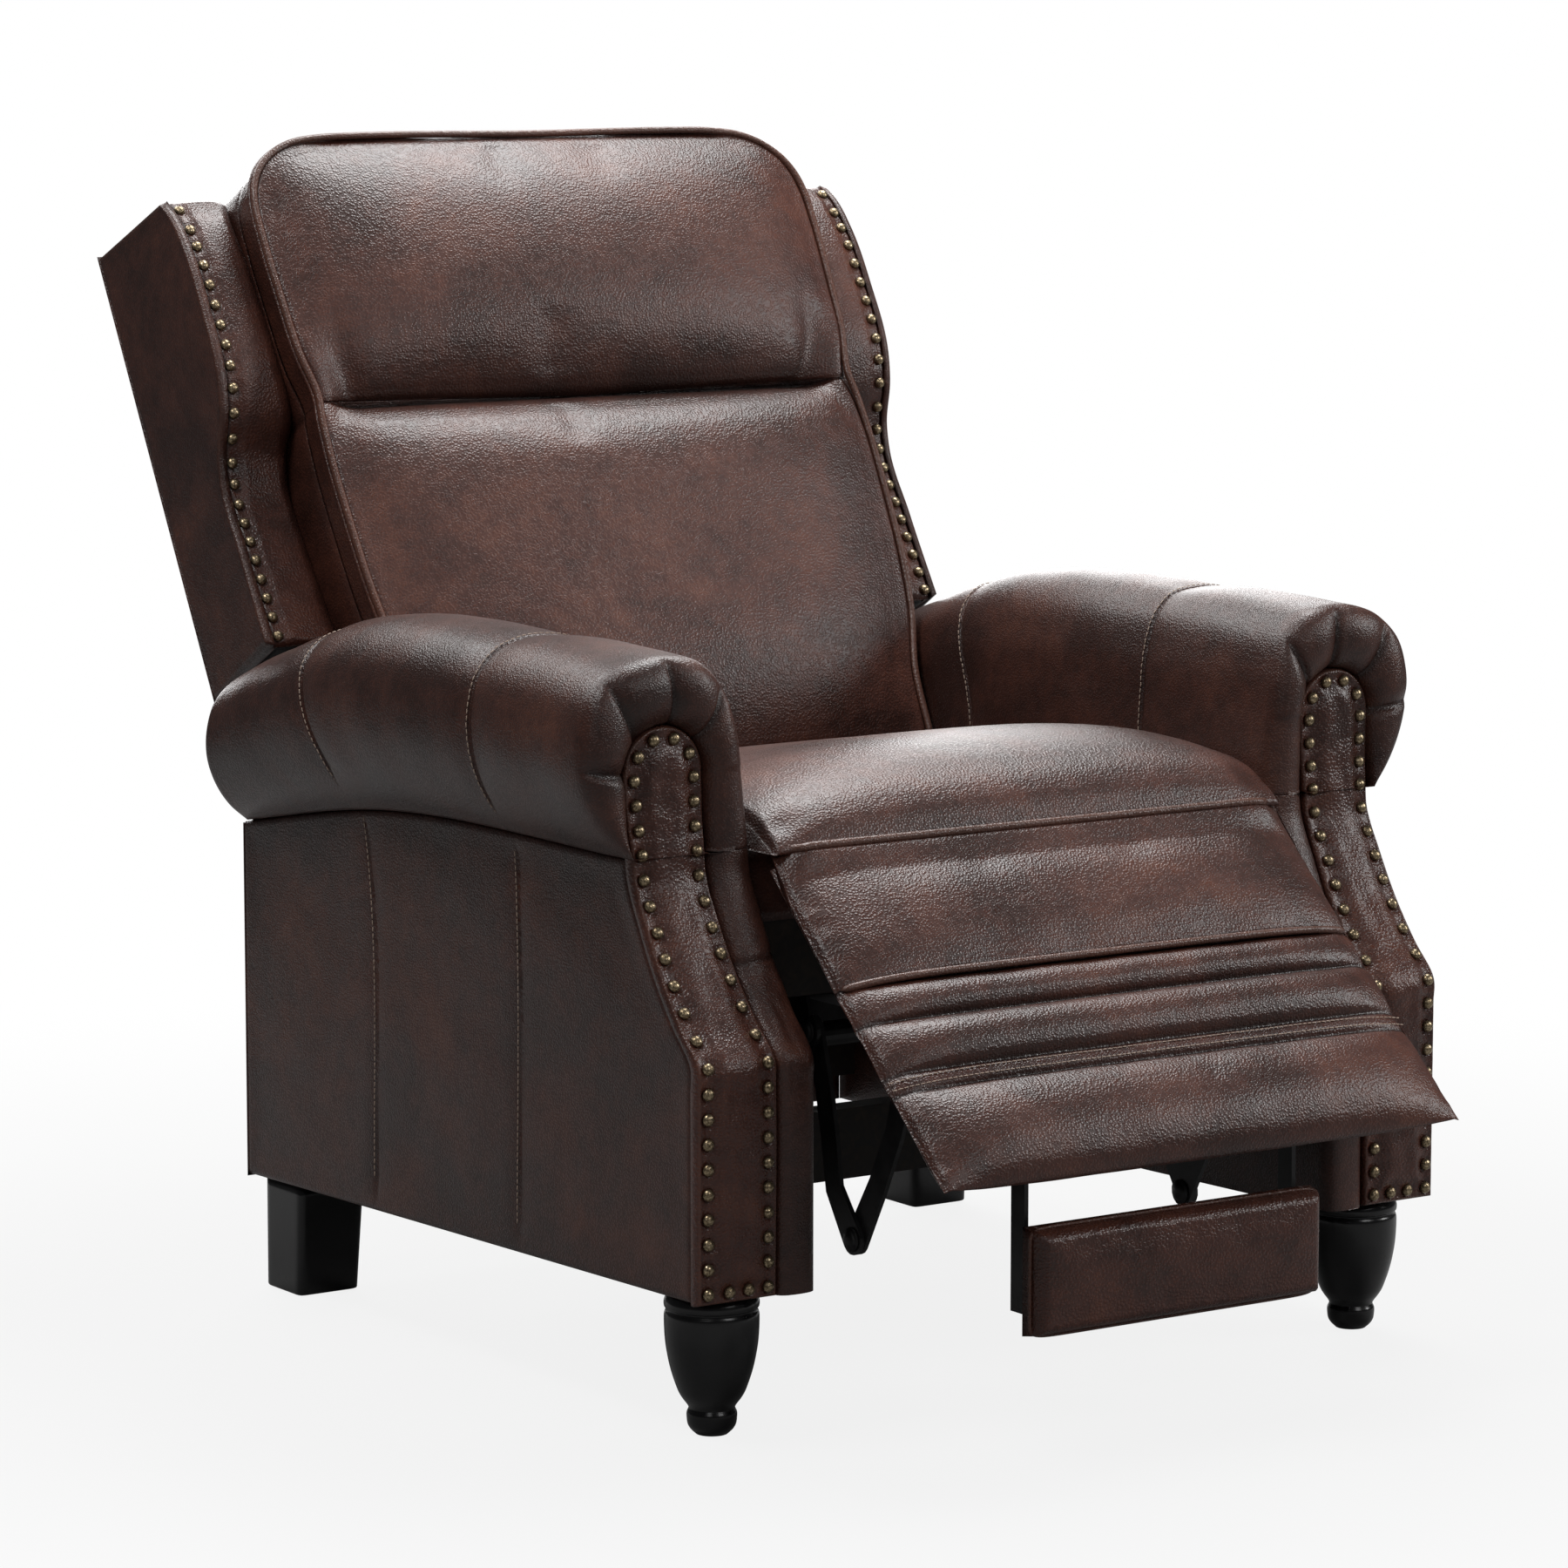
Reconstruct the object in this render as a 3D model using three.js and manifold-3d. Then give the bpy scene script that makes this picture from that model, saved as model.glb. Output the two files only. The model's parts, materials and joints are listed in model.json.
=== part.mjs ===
// A push-back wing chair with rolled arms, nailed scroll panels, turned front feet, a leg panel
// that swings out from under the seat and a flipper pad that unfolds from behind the leg panel.
// Lengths are millimetres, angles are degrees. X runs across, the chair faces -Y, +Z is up.
// Left and right are the viewer's, looking at the front. The chair is drawn half opened.
import * as THREE from 'three';
import { mergeVertices } from 'three/addons/utils/BufferGeometryUtils.js';
import Module from 'manifold-3d';

// Arm boxes: how wide, how far forward and back, and how high their edges run.
const boxHalfWidth = 380;
const armWidth = 115.5;
const armGapHalf = boxHalfWidth - armWidth;
const frontReach = 430;
const rearReach = 309;
const boxBottomFront = 118;
const boxBottomRear = 100;
const kneeHeight = 309;
const waistHeight = 466;
const waistReach = 335.5;
const scrollNeck = 54;
const scrollHeadHeight = 50;
const headHeight = waistHeight + scrollNeck;
const headTop = headHeight + scrollHeadHeight;
const headSetback = 5.5;
const headReach = waistReach - headSetback;
const seamMidDrop = 10;
const seamRearDrop = 46;

// Arm roll above the boxes.
const rollOverhang = 41;
const rollHeight = 161;

// Seat and leg panel.
const seatReach = 363;
const seatCrownHeight = 526;
const seatNoseThickness = 66;
const seatFoldHeight = seatCrownHeight - seatNoseThickness;
const sideClearance = 2.5;
const legLength = 331;
const legThickness = 45;
const legDrop = 43;

// Back, turned about its hinge.
const hingeSetback = 119;
const seatRearSetback = 75;
const backHingeY = rearReach - hingeSetback;
const seatRear = backHingeY - seatRearSetback;
const backHingeZ = 400;
const backLean = 28.5;
const backTop = 666;
const lumbarClearance = 6.5;
const lumbarLowShare = 0.86;
const backHalfWidth = (armGapHalf - lumbarClearance) / lumbarLowShare;
const backFront = 70;
const backRear = 123;
const lumbarSeamHeight = 405;
const wingInset = 15;
const wingDrop = 26;
const wingTopDrop = 38;
const wingHalfWidth = boxHalfWidth - wingInset;
const wingBottom = waistHeight + rollHeight - backHingeZ - wingDrop;
const wingTop = backTop - wingTopDrop;
const wingReach = 46;

// Small sizes that many pieces share.
const gap = 0.3;
const runGap = 2;
const overrun = 5;
const plateThickness = 4;
const pinRadius = 6;
const pinClearance = 0.4;
const leatherSkin = 8;

const leather = { color: 0x3b231d, roughness: 0.45, metalness: 0 };
const wood = { color: 0xa98556, roughness: 0.7, metalness: 0 };
const blackPaint = { color: 0x0c0c0d, roughness: 0.25, metalness: 0 };
const blackSteel = { color: 0x1b1b1d, roughness: 0.4, metalness: 0.8 };
const springSteel = { color: 0x77797c, roughness: 0.35, metalness: 0.9 };
const brass = { color: 0x8c7348, roughness: 0.3, metalness: 0.9 };

const sides = [['left', -1], ['right', 1]];
const wasm = await Module();
wasm.setup();

const chair = new THREE.Group();

function addPiece(parent, name, geometry, finish) {
  const piece = new THREE.Mesh(geometry, new THREE.MeshStandardMaterial(finish));
  piece.name = name;
  parent.add(piece);
  return piece;
}

// Strips a geometry to merged points, and turns its faces out if they point in.
function closedBody(geometry) {
  geometry.deleteAttribute('normal');
  geometry.deleteAttribute('uv');
  const merged = mergeVertices(geometry);
  const points = merged.getAttribute('position');
  const all = Array.from(merged.getIndex().array);
  const index = [];
  for (let i = 0; i < all.length; i += 3) {
    const [p, q, r] = [all[i], all[i + 1], all[i + 2]];
    if (p !== q && q !== r && r !== p) index.push(p, q, r);
  }
  const [a, b, c] = [new THREE.Vector3(), new THREE.Vector3(), new THREE.Vector3()];
  let volume = 0;
  for (let i = 0; i < index.length; i += 3) {
    a.fromBufferAttribute(points, index[i]);
    b.fromBufferAttribute(points, index[i + 1]);
    c.fromBufferAttribute(points, index[i + 2]);
    volume += a.dot(b.cross(c));
  }
  if (volume < 0) {
    for (let i = 0; i < index.length; i += 3) {
      [index[i], index[i + 1]] = [index[i + 1], index[i]];
    }
  }
  merged.setIndex(index);
  merged.computeVertexNormals();
  return merged;
}

// Joins closed rings of points into one body. The flat outline, in the same order as a ring's
// points, says how each end is filled.
function loft(rings, flat) {
  const count = flat.length;
  const index = [];
  for (let i = 0; i + 1 < rings.length; i += 1) {
    for (let j = 0; j < count; j += 1) {
      const k = (j + 1) % count;
      const [low, high] = [i * count, (i + 1) * count];
      index.push(low + j, low + k, high + k, low + j, high + k, high + j);
    }
  }
  const turn = Math.sign(THREE.ShapeUtils.area(flat));
  const last = (rings.length - 1) * count;
  for (const [a, b, c] of THREE.ShapeUtils.triangulateShape(flat, [])) {
    const [p, q] = THREE.ShapeUtils.area([flat[a], flat[b], flat[c]]) * turn > 0 ? [b, c] : [c, b];
    index.push(q, p, a, last + a, last + p, last + q);
  }
  const geometry = new THREE.BufferGeometry();
  const numbers = rings.flat().flatMap((point) => point.toArray());
  geometry.setAttribute('position', new THREE.Float32BufferAttribute(numbers, 3));
  geometry.setIndex(index);
  return closedBody(geometry);
}

function counterClockwise(outline) {
  const points = outline.map(([a, b]) => new THREE.Vector2(a, b));
  return THREE.ShapeUtils.isClockWise(points) ? points.reverse() : points;
}

// Extrudes an outline drawn in Y and Z across X, from one X to another.
function plateAcross(outline, fromX, toX, holes = []) {
  const shape = new THREE.Shape(counterClockwise(outline));
  for (const hole of holes) shape.holes.push(new THREE.Path(counterClockwise(hole)));
  const depth = Math.abs(toX - fromX);
  const geometry = new THREE.ExtrudeGeometry(shape, { depth, bevelEnabled: false, steps: 1 });
  const across = new THREE.Matrix4().makeBasis(
    new THREE.Vector3(0, 1, 0), new THREE.Vector3(0, 0, 1), new THREE.Vector3(1, 0, 0));
  geometry.applyMatrix4(across).translate(Math.min(fromX, toX), 0, 0);
  return closedBody(geometry);
}

// Extrudes an outline drawn in X and Z along Y, from one Y to another.
function plateAlong(outline, fromY, toY) {
  const shape = new THREE.Shape(counterClockwise(outline));
  const geometry = new THREE.ExtrudeGeometry(
    shape, { depth: toY - fromY, bevelEnabled: false, steps: 1 });
  geometry.rotateX(Math.PI / 2).translate(0, toY, 0);
  return closedBody(geometry);
}

function block(x0, x1, y0, y1, z0, z1) {
  const geometry = new THREE.BoxGeometry(Math.abs(x1 - x0), y1 - y0, z1 - z0);
  geometry.translate((x0 + x1) / 2, (y0 + y1) / 2, (z0 + z1) / 2);
  return closedBody(geometry);
}

const pinSides = 16;
const roundSides = 32;
function barAcross(radius, fromX, toX, y, z) {
  const geometry = new THREE.CylinderGeometry(radius, radius, Math.abs(toX - fromX), pinSides);
  geometry.rotateZ(Math.PI / 2).translate((fromX + toX) / 2, y, z);
  return closedBody(geometry);
}

function toSolid(geometry) {
  const vertProperties = Float32Array.from(geometry.getAttribute('position').array);
  const triVerts = Uint32Array.from(geometry.getIndex().array);
  return new wasm.Manifold(new wasm.Mesh({ numProp: 3, vertProperties, triVerts }));
}

// Joins the first list of bodies, then cuts the second list out of them.
function build(joined, cut = []) {
  let solid = joined.map(toSolid).reduce((a, b) => a.add(b));
  for (const tool of cut) solid = solid.subtract(toSolid(tool));
  const mesh = solid.getMesh();
  const geometry = new THREE.BufferGeometry();
  geometry.setAttribute('position', new THREE.Float32BufferAttribute(mesh.vertProperties, 3));
  geometry.setIndex(new THREE.Uint32BufferAttribute(mesh.triVerts, 1));
  return closedBody(geometry);
}

// Reads a table of [place, value] pairs, with straight runs between them.
function between(table, place) {
  const next = table.findIndex(([at]) => at >= place);
  if (next === 0) return table[0][1];
  if (next < 0) return table[table.length - 1][1];
  const [[p0, v0], [p1, v1]] = [table[next - 1], table[next]];
  return v0 + (v1 - v0) * (place - p0) / (p1 - p0);
}

// An arc of points about a centre, as [first, second] pairs.
function arc(centre, radius, fromDegrees, toDegrees, steps) {
  return Array.from({ length: steps + 1 }, (_, i) => {
    const turn = THREE.MathUtils.degToRad(fromDegrees + (toDegrees - fromDegrees) * i / steps);
    return [centre[0] + radius * Math.cos(turn), centre[1] + radius * Math.sin(turn)];
  });
}

// Arm boxes. Their front edge stands upright to the knee, falls back to the waist in a hollow
// curve and rises into the scroll head. The shares give height from knee to waist, then reach.
const frontFallShares = [
  [0, 0], [0.19, 0.275], [0.363, 0.497], [0.637, 0.772], [0.91, 0.984], [1, 1]];
const frontFall = frontFallShares.map(([up, back]) => [
  kneeHeight + (waistHeight - kneeHeight) * up, frontReach + (waistReach - frontReach) * back]);
const frontLine = [
  [boxBottomFront, frontReach], ...frontFall, [headHeight, headReach], [headTop, headReach]];
const frontAt = (z) => -between(frontLine, z);
const boxLength = frontReach + rearReach;
const bottomAt = (y) => boxBottomFront
  + (boxBottomRear - boxBottomFront) * (y + frontReach) / boxLength;
const seamMidShare = 0.7;
const seamTable = [
  [-waistReach, waistHeight], [-frontReach + boxLength * seamMidShare, waistHeight - seamMidDrop],
  [rearReach, waistHeight - seamRearDrop]];
const seamAt = (y) => between(seamTable, y);

function boxOutline(frontInset, rearY) {
  return [
    [rearY, bottomAt(rearY)], [frontInset - frontReach, bottomAt(frontInset - frontReach)],
    ...frontFall.map(([z, reach]) => [frontInset - reach, z]),
    [seamTable[1][0], seamTable[1][1]], [rearY, seamAt(rearY)]];
}

const scrollThickness = 12;
const innerPadThickness = 11.7;
const rearPanelThickness = 6;
const boxRear = rearReach - rearPanelThickness - gap;
const frameFront = scrollThickness + gap;
const frameInnerX = armGapHalf + innerPadThickness + gap;
const frameOuterX = boxHalfWidth - leatherSkin - gap;

// Arm frame: boards on edge make a closed ladder that everything else is fixed to.
const frameBoard = 24;
const framePost = 30;
function armFrame(side) {
  const front = frameFront - frontReach + framePost;
  const rear = boxRear - framePost;
  const waist = frameFront - waistReach + framePost;
  const window = [
    [rear, bottomAt(rear) + frameBoard], [front, bottomAt(front) + frameBoard],
    [front, kneeHeight - frameBoard], [waist, waistHeight - framePost],
    [seamTable[1][0], seamTable[1][1] - frameBoard], [rear, seamAt(rear) - frameBoard]];
  return plateAcross(
    boxOutline(frameFront, boxRear), side * frameInnerX, side * frameOuterX, [window]);
}

// Scroll panel: a padded board that runs up the front of the arm and ends in a round head.
const scrollWidth = 76;
const scrollWaistWidth = 71;
const scrollHeadRadius = 38;
const scrollHeadInset = 34;
const scrollHeadX = boxHalfWidth - scrollHeadInset;
const scrollHeadShares = [0, 0.35, 0.6, 0.8, 0.93, 0.99];
const scrollHeadZ = headTop - scrollHeadRadius;
const scrollNarrowShares = [0, 0, 0.3, 0.6, 1, 1, 1];
const scrollRows = [
  ...scrollNarrowShares.map((narrow, i) => {
    const half = (scrollWidth + (scrollWaistWidth - scrollWidth) * narrow) / 2;
    return [frontLine[i][0], boxHalfWidth - half, half];
  }),
  [headHeight, scrollHeadX, scrollHeadRadius],
  ...scrollHeadShares.map((share) => [
    scrollHeadZ + scrollHeadRadius * share, scrollHeadX,
    scrollHeadRadius * Math.sqrt(1 - share * share)])];

function scrollPanel(side) {
  const rings = scrollRows.map(([z, middle, half]) => {
    const [front, back] = [frontAt(z), frontAt(z) + scrollThickness];
    const [x0, x1] = [side * (middle - half), side * (middle + half)];
    return [
      new THREE.Vector3(x0, front, z), new THREE.Vector3(x1, front, z),
      new THREE.Vector3(x1, back, z), new THREE.Vector3(x0, back, z)];
  });
  return loft(rings, rings[0].map(({ x, y }) => new THREE.Vector2(x, y)));
}

// Nail trim: domed heads on a narrow metal strip, laid along a path of places on a surface.
// Each place has a point, the direction out of the surface and the direction across the strip.
const nailRadius = 5.2;
const nailHeight = 3.4;
const nailPitch = 20;
const stripHalf = 1.2;
const stripHeight = 0.8;
const nailShoulderShare = 0.5;
const nailShoulderWidthShare = 0.87;
const nailShoulderHeightShare = 0.9;
const nailSeatShares = [-1, -0.75, -0.5, -0.25, 0, 0.25, 0.5, 0.75, 1];
function nailTrim(placeAt, count) {
  const rings = [];
  const cross = [
    [-nailRadius, stripHalf, stripHeight],
    [-nailRadius * nailShoulderShare, nailRadius * nailShoulderWidthShare,
      nailHeight * nailShoulderHeightShare],
    [nailRadius * nailShoulderShare, nailRadius * nailShoulderWidthShare,
      nailHeight * nailShoulderHeightShare],
    [nailRadius, stripHalf, stripHeight]];
  for (let i = 0; i < count; i += 1) {
    for (const [ahead, half, height] of cross) {
      const { point, out, across, along } = placeAt(i);
      const base = point.clone().addScaledVector(along, ahead).addScaledVector(out, gap);
      rings.push([
        base.clone().addScaledVector(across, half),
        base.clone().addScaledVector(out, height),
        base.clone().addScaledVector(across, -half)]);
    }
  }
  const flat = [
    new THREE.Vector2(stripHalf, 0), new THREE.Vector2(0, stripHeight),
    new THREE.Vector2(-stripHalf, 0)];
  return loft(rings, flat);
}

// Spreads places evenly along runs of [first, second] points, with a place at each run's ends.
function spread(runs, pitch) {
  return runs.flatMap((points, run) => {
    const steps = points.slice(1).map(
      ([a, b], i) => Math.hypot(a - points[i][0], b - points[i][1]));
    const total = steps.reduce((sum, step) => sum + step, 0);
    const count = Math.max(Math.round(total / pitch), 1);
    const places = Array.from({ length: count + 1 }, (_, i) => {
      let left = total * i / count;
      let leg = 0;
      while (leg < steps.length - 1 && left > steps[leg]) {
        left -= steps[leg];
        leg += 1;
      }
      const [from, to] = [points[leg], points[leg + 1]];
      const [du, dv] = [(to[0] - from[0]) / steps[leg], (to[1] - from[1]) / steps[leg]];
      return { at: [from[0] + du * left, from[1] + dv * left], along: [du, dv] };
    });
    return run > 0 ? places.slice(1) : places;
  });
}

// How far a nail must stand off so that its flat base clears a bent surface. The surface is
// given as a depth by height, and a smaller depth is further out.
function nailSeat(depthAt, height) {
  const slope = (depthAt(height + nailRadius) - depthAt(height - nailRadius)) / (2 * nailRadius);
  const depths = nailSeatShares.map((share) => {
    const away = share * nailRadius;
    return depthAt(height + away) - slope * away;
  });
  return { slope, depth: Math.min(...depths) };
}

// The arm's nails run up the outer edge, round the head, down the inner edge and along the foot.
const nailInset = 9.5;
const armNailHeadSteps = 8;
function armNails(side) {
  const rows = scrollRows.filter(([z]) => z <= waistHeight);
  const foot = boxBottomFront + nailInset;
  const edge = (sign) => rows.map(([z, middle, half]) => [
    middle + sign * (half - nailInset), Math.max(z, foot)]);
  const head = arc(
    [scrollHeadX, scrollHeadZ], scrollHeadRadius - nailInset, 0, 180, armNailHeadSteps);
  const [outer, inner] = [edge(1), edge(-1).reverse()];
  const knee = inner.length - 2;
  const runs = [
    outer.slice(0, 2), [...outer.slice(1), ...head, ...inner.slice(0, knee + 1)],
    inner.slice(knee), [inner[knee + 1], [outer[0][0] - nailPitch, foot]]];
  const places = spread(runs, nailPitch);
  return nailTrim((i) => {
    const [[x, z], [dx, dz]] = [places[i].at, places[i].along];
    const { slope, depth } = nailSeat(frontAt, z);
    const out = new THREE.Vector3(0, -1, slope).normalize();
    const along = new THREE.Vector3(side * dx, slope * dz, dz).normalize();
    const point = new THREE.Vector3(side * x, depth, z);
    return { point, out, along, across: along.clone().cross(out) };
  }, places.length);
}

// Inner arm pad: it lines the seat's side and folds round the front beside the scroll panel.
const wrapSetback = 5;
const wrapLap = 1;
function innerArmPad(side) {
  const lining = plateAcross(
    boxOutline(wrapSetback, boxRear), side * armGapHalf, side * (armGapHalf + innerPadThickness));
  const rings = scrollRows.filter(([z]) => z <= waistHeight).map(([z, middle, half]) => {
    const [front, back] = [frontAt(z) + wrapSetback, frontAt(z) + scrollThickness];
    const [x0, x1] = [
      side * (armGapHalf + innerPadThickness - wrapLap), side * (middle - half - gap)];
    const low = Math.max(z, bottomAt(-frontReach + wrapSetback));
    return [
      new THREE.Vector3(x0, front, low), new THREE.Vector3(x1, front, low),
      new THREE.Vector3(x1, back, low), new THREE.Vector3(x0, back, low)];
  });
  return build([lining, loft(rings, rings[0].map(({ x, y }) => new THREE.Vector2(x, y)))]);
}

// Arm roll: a padded scroll over the whole box. Its section is drawn as shares of the roll's
// width and height, from the seat side over the top to the outer seam.
const rollSectionShares = [
  [0, 0], [0.02, 0.18], [0.05, 0.42], [0.09, 0.66], [0.17, 0.85], [0.3, 0.965], [0.47, 1],
  [0.65, 0.99], [0.81, 0.93], [0.93, 0.81], [0.99, 0.63], [0.995, 0.45], [0.945, 0.27],
  [0.85, 0.11]];
const rollTopShares = [
  [0, 0.965], [0.03, 0.99], [0.14, 1], [0.28, 1.005], [0.46, 1.005], [0.58, 0.99], [0.64, 0.97],
  [0.705, 0.925], [0.77, 0.86], [0.83, 0.78], [0.9, 0.69], [0.96, 0.6], [1, 0.53]];
const rollFrontBulge = 9;
const rollEdge = 22;
const rollFrontShares = [[0, 0.5], [0.1, 0.16], [0.3, -0.05], [1, -0.12], [2.6, -0.08]];
const rollRearShares = [[0, 0.8], [0.18, 0.42], [0.5, 0.14], [1, 0]];
const rollRunShares = [0.17, 0.28, 0.42, 0.54, 0.74, 0.81, 0.88];
const rollOuterX = boxHalfWidth + rollOverhang;
const rollFrontY = -headReach - rollFrontBulge;
function armRoll(side) {
  const length = rearReach - rollFrontY;
  const rollRuns = [...rollRunShares.map((share) => rollFrontY + length * share), seamTable[1][0]]
    .sort((a, b) => a - b);
  const stations = [
    ...rollFrontShares.map(([along, inset]) => [rollFrontY + rollEdge * along, rollEdge * inset]),
    ...rollRuns.map((y) => [y, 0]),
    ...rollRearShares.map(([along, inset]) => [rearReach - rollEdge * along, rollEdge * inset])
      .reverse()];
  const width = rollOuterX - armGapHalf;
  const section = [...rollSectionShares, [(boxHalfWidth - armGapHalf) / width, 0]];
  const rings = stations.map(([y, inset]) => {
    const low = seamAt(y) + gap;
    const high = waistHeight + rollHeight * between(rollTopShares, (y - rollFrontY) / length);
    const middle = [armGapHalf + width / 2, (low + high) / 2];
    return section.map(([across, up]) => {
      const x = armGapHalf + width * across;
      const z = low + (high - low) * up;
      const kept = x > middle[0] ? inset : Math.max(inset, 0);
      const shrinkX = 1 - kept / (width / 2);
      const shrinkZ = up > 0 ? 1 - Math.max(inset, 0) / ((high - low) / 2) : 1;
      return new THREE.Vector3(
        side * (middle[0] + (x - middle[0]) * shrinkX), y, middle[1] + (z - middle[1]) * shrinkZ);
    });
  });
  const body = loft(rings, section.map(([a, b]) => new THREE.Vector2(a * width, b * rollHeight)));
  const reach = scrollHeadRadius + gap;
  const [front, back] = [rollFrontY - overrun, -headReach + scrollThickness + gap];
  const round = new THREE.CylinderGeometry(reach, reach, back - front, roundSides);
  round.translate(side * scrollHeadX, (front + back) / 2, scrollHeadZ);
  const neck = block(
    side * (scrollHeadX - reach), side * (scrollHeadX + reach), front, back,
    waistHeight - overrun, scrollHeadZ);
  return build([body], [closedBody(round), neck]);
}

function armPieces(name, side) {
  addPiece(chair, `${name}_arm_frame`, armFrame(side), wood);
  addPiece(chair, `${name}_side_panel`, plateAcross(
    boxOutline(frameFront, boxRear), side * (boxHalfWidth - leatherSkin),
    side * boxHalfWidth), leather);
  addPiece(chair, `${name}_inner_arm_pad`, innerArmPad(side), leather);
  addPiece(chair, `${name}_scroll_panel`, scrollPanel(side), leather);
  addPiece(chair, `${name}_arm_nails`, armNails(side), brass);
  addPiece(chair, `${name}_arm_roll`, armRoll(side), leather);
  const rear = [
    [armGapHalf, boxBottomRear], [boxHalfWidth, boxBottomRear],
    [boxHalfWidth, seamAt(rearReach) - gap], [armGapHalf, seamAt(rearReach) - gap]];
  addPiece(chair, `${name}_arm_rear_panel`, plateAlong(
    rear.map(([x, z]) => [side * x, z]), boxRear + gap, rearReach), leather);
}
for (const [name, side] of sides) armPieces(name, side);

// Front feet: turned and painted, with a collar, a long taper, a neck and a ball.
const frontFootInset = 47;
const frontFootSetback = 53;
const frontFootX = boxHalfWidth - frontFootInset;
const frontFootY = frontFootSetback - frontReach;
const frontFootRadius = 38.5;
const frontFootShares = [
  [0.34, 0], [0.45, 0.035], [0.51, 0.07], [0.53, 0.115], [0.53, 0.15], [0.5, 0.175],
  [0.49, 0.19], [0.53, 0.215], [0.62, 0.255], [0.7, 0.3], [0.78, 0.37], [0.86, 0.455],
  [0.92, 0.54], [0.97, 0.64], [0.995, 0.74], [1, 0.85], [0.97, 0.885], [0.965, 0.9],
  [1, 0.915], [1, 0.955], [0.94, 1]];
const footSides = 20;
function frontFoot(side) {
  const top = bottomAt(frontFootY + frontFootRadius) - gap;
  const profile = [
    new THREE.Vector2(0, 0),
    ...frontFootShares.map(([r, z]) => new THREE.Vector2(frontFootRadius * r, top * z)),
    new THREE.Vector2(0, top)];
  const geometry = new THREE.LatheGeometry(profile, footSides);
  geometry.rotateX(Math.PI / 2).translate(side * frontFootX, frontFootY, 0);
  return closedBody(geometry);
}

// Rear feet: tapered blocks, upright on their outer and rear faces.
const rearFootTop = 66;
const rearFootBottom = 61;
const rearFootInset = 14;
const rearFootSetback = 12;
const rearFootOuterX = boxHalfWidth - rearFootInset;
const rearFootRearY = rearReach - rearFootSetback;
function rearFoot(side) {
  const top = bottomAt(rearFootRearY) - gap;
  const ring = (size, z) => [
    new THREE.Vector3(side * rearFootOuterX, rearFootRearY, z),
    new THREE.Vector3(side * (rearFootOuterX - size), rearFootRearY, z),
    new THREE.Vector3(side * (rearFootOuterX - size), rearFootRearY - size, z),
    new THREE.Vector3(side * rearFootOuterX, rearFootRearY - size, z)];
  const rings = [ring(rearFootBottom, 0), ring(rearFootTop, top)];
  return loft(rings, rings[0].map(({ x, y }) => new THREE.Vector2(x, y)));
}
for (const [name, side] of sides) {
  addPiece(chair, `${name}_front_foot`, frontFoot(side), blackPaint);
  addPiece(chair, `${name}_rear_foot`, rearFoot(side), blackPaint);
}

// Cross rails tie the arm boxes together and carry the steel base rails of the mechanism.
const seatPadThickness = 60;
const seatFrameTop = seatFoldHeight - seatPadThickness;
const seatFrameHeight = 65;
const seatFrameBottom = seatFrameTop - seatFrameHeight;
const seatFrameRise = 145;
const crossRailTop = seatFrameBottom - seatFrameRise;
const crossRailHeight = 62;
const crossRailThickness = 25;
const frontRailY = -95;
const crossRailHalf = armGapHalf - gap;
const rearRailBack = boxRear;
const apronRise = 43;
const apronTop = backHingeZ - backRear + apronRise;
for (const [name, back] of [['front', frontRailY], ['rear', rearRailBack]]) {
  addPiece(chair, `${name}_cross_rail`, block(
    -crossRailHalf, crossRailHalf, back - crossRailThickness, back,
    crossRailTop - crossRailHeight, crossRailTop), wood);
}
addPiece(chair, 'rear_apron', block(
  -crossRailHalf, crossRailHalf, rearRailBack + gap, rearReach, boxBottomRear, apronTop), leather);

// Base rails: upturned steel channels that the seat's side plates slide along.
const sidePlateInset = 88.5;
const sidePlateX = armGapHalf - sidePlateInset;
const baseRailInnerX = sidePlateX + plateThickness + runGap;
const baseRailWidth = 30;
const baseRailHeight = 25;
const baseRailWall = 3;
const baseRailBottom = crossRailTop + gap;
const baseRailTop = baseRailBottom + baseRailHeight;
const baseRailFront = frontRailY - crossRailThickness - runGap;
function baseRail(side) {
  const [inner, outer] = [baseRailInnerX, baseRailInnerX + baseRailWidth];
  const channel = [
    [inner, baseRailBottom], [inner + baseRailWall, baseRailBottom],
    [inner + baseRailWall, baseRailTop - baseRailWall],
    [outer - baseRailWall, baseRailTop - baseRailWall], [outer - baseRailWall, baseRailBottom],
    [outer, baseRailBottom], [outer, baseRailTop], [inner, baseRailTop]];
  return plateAlong(channel.map(([x, z]) => [side * x, z]), baseRailFront, rearRailBack);
}
for (const [name, side] of sides) {
  addPiece(chair, `${name}_base_rail`, baseRail(side), blackSteel);
}

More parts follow.
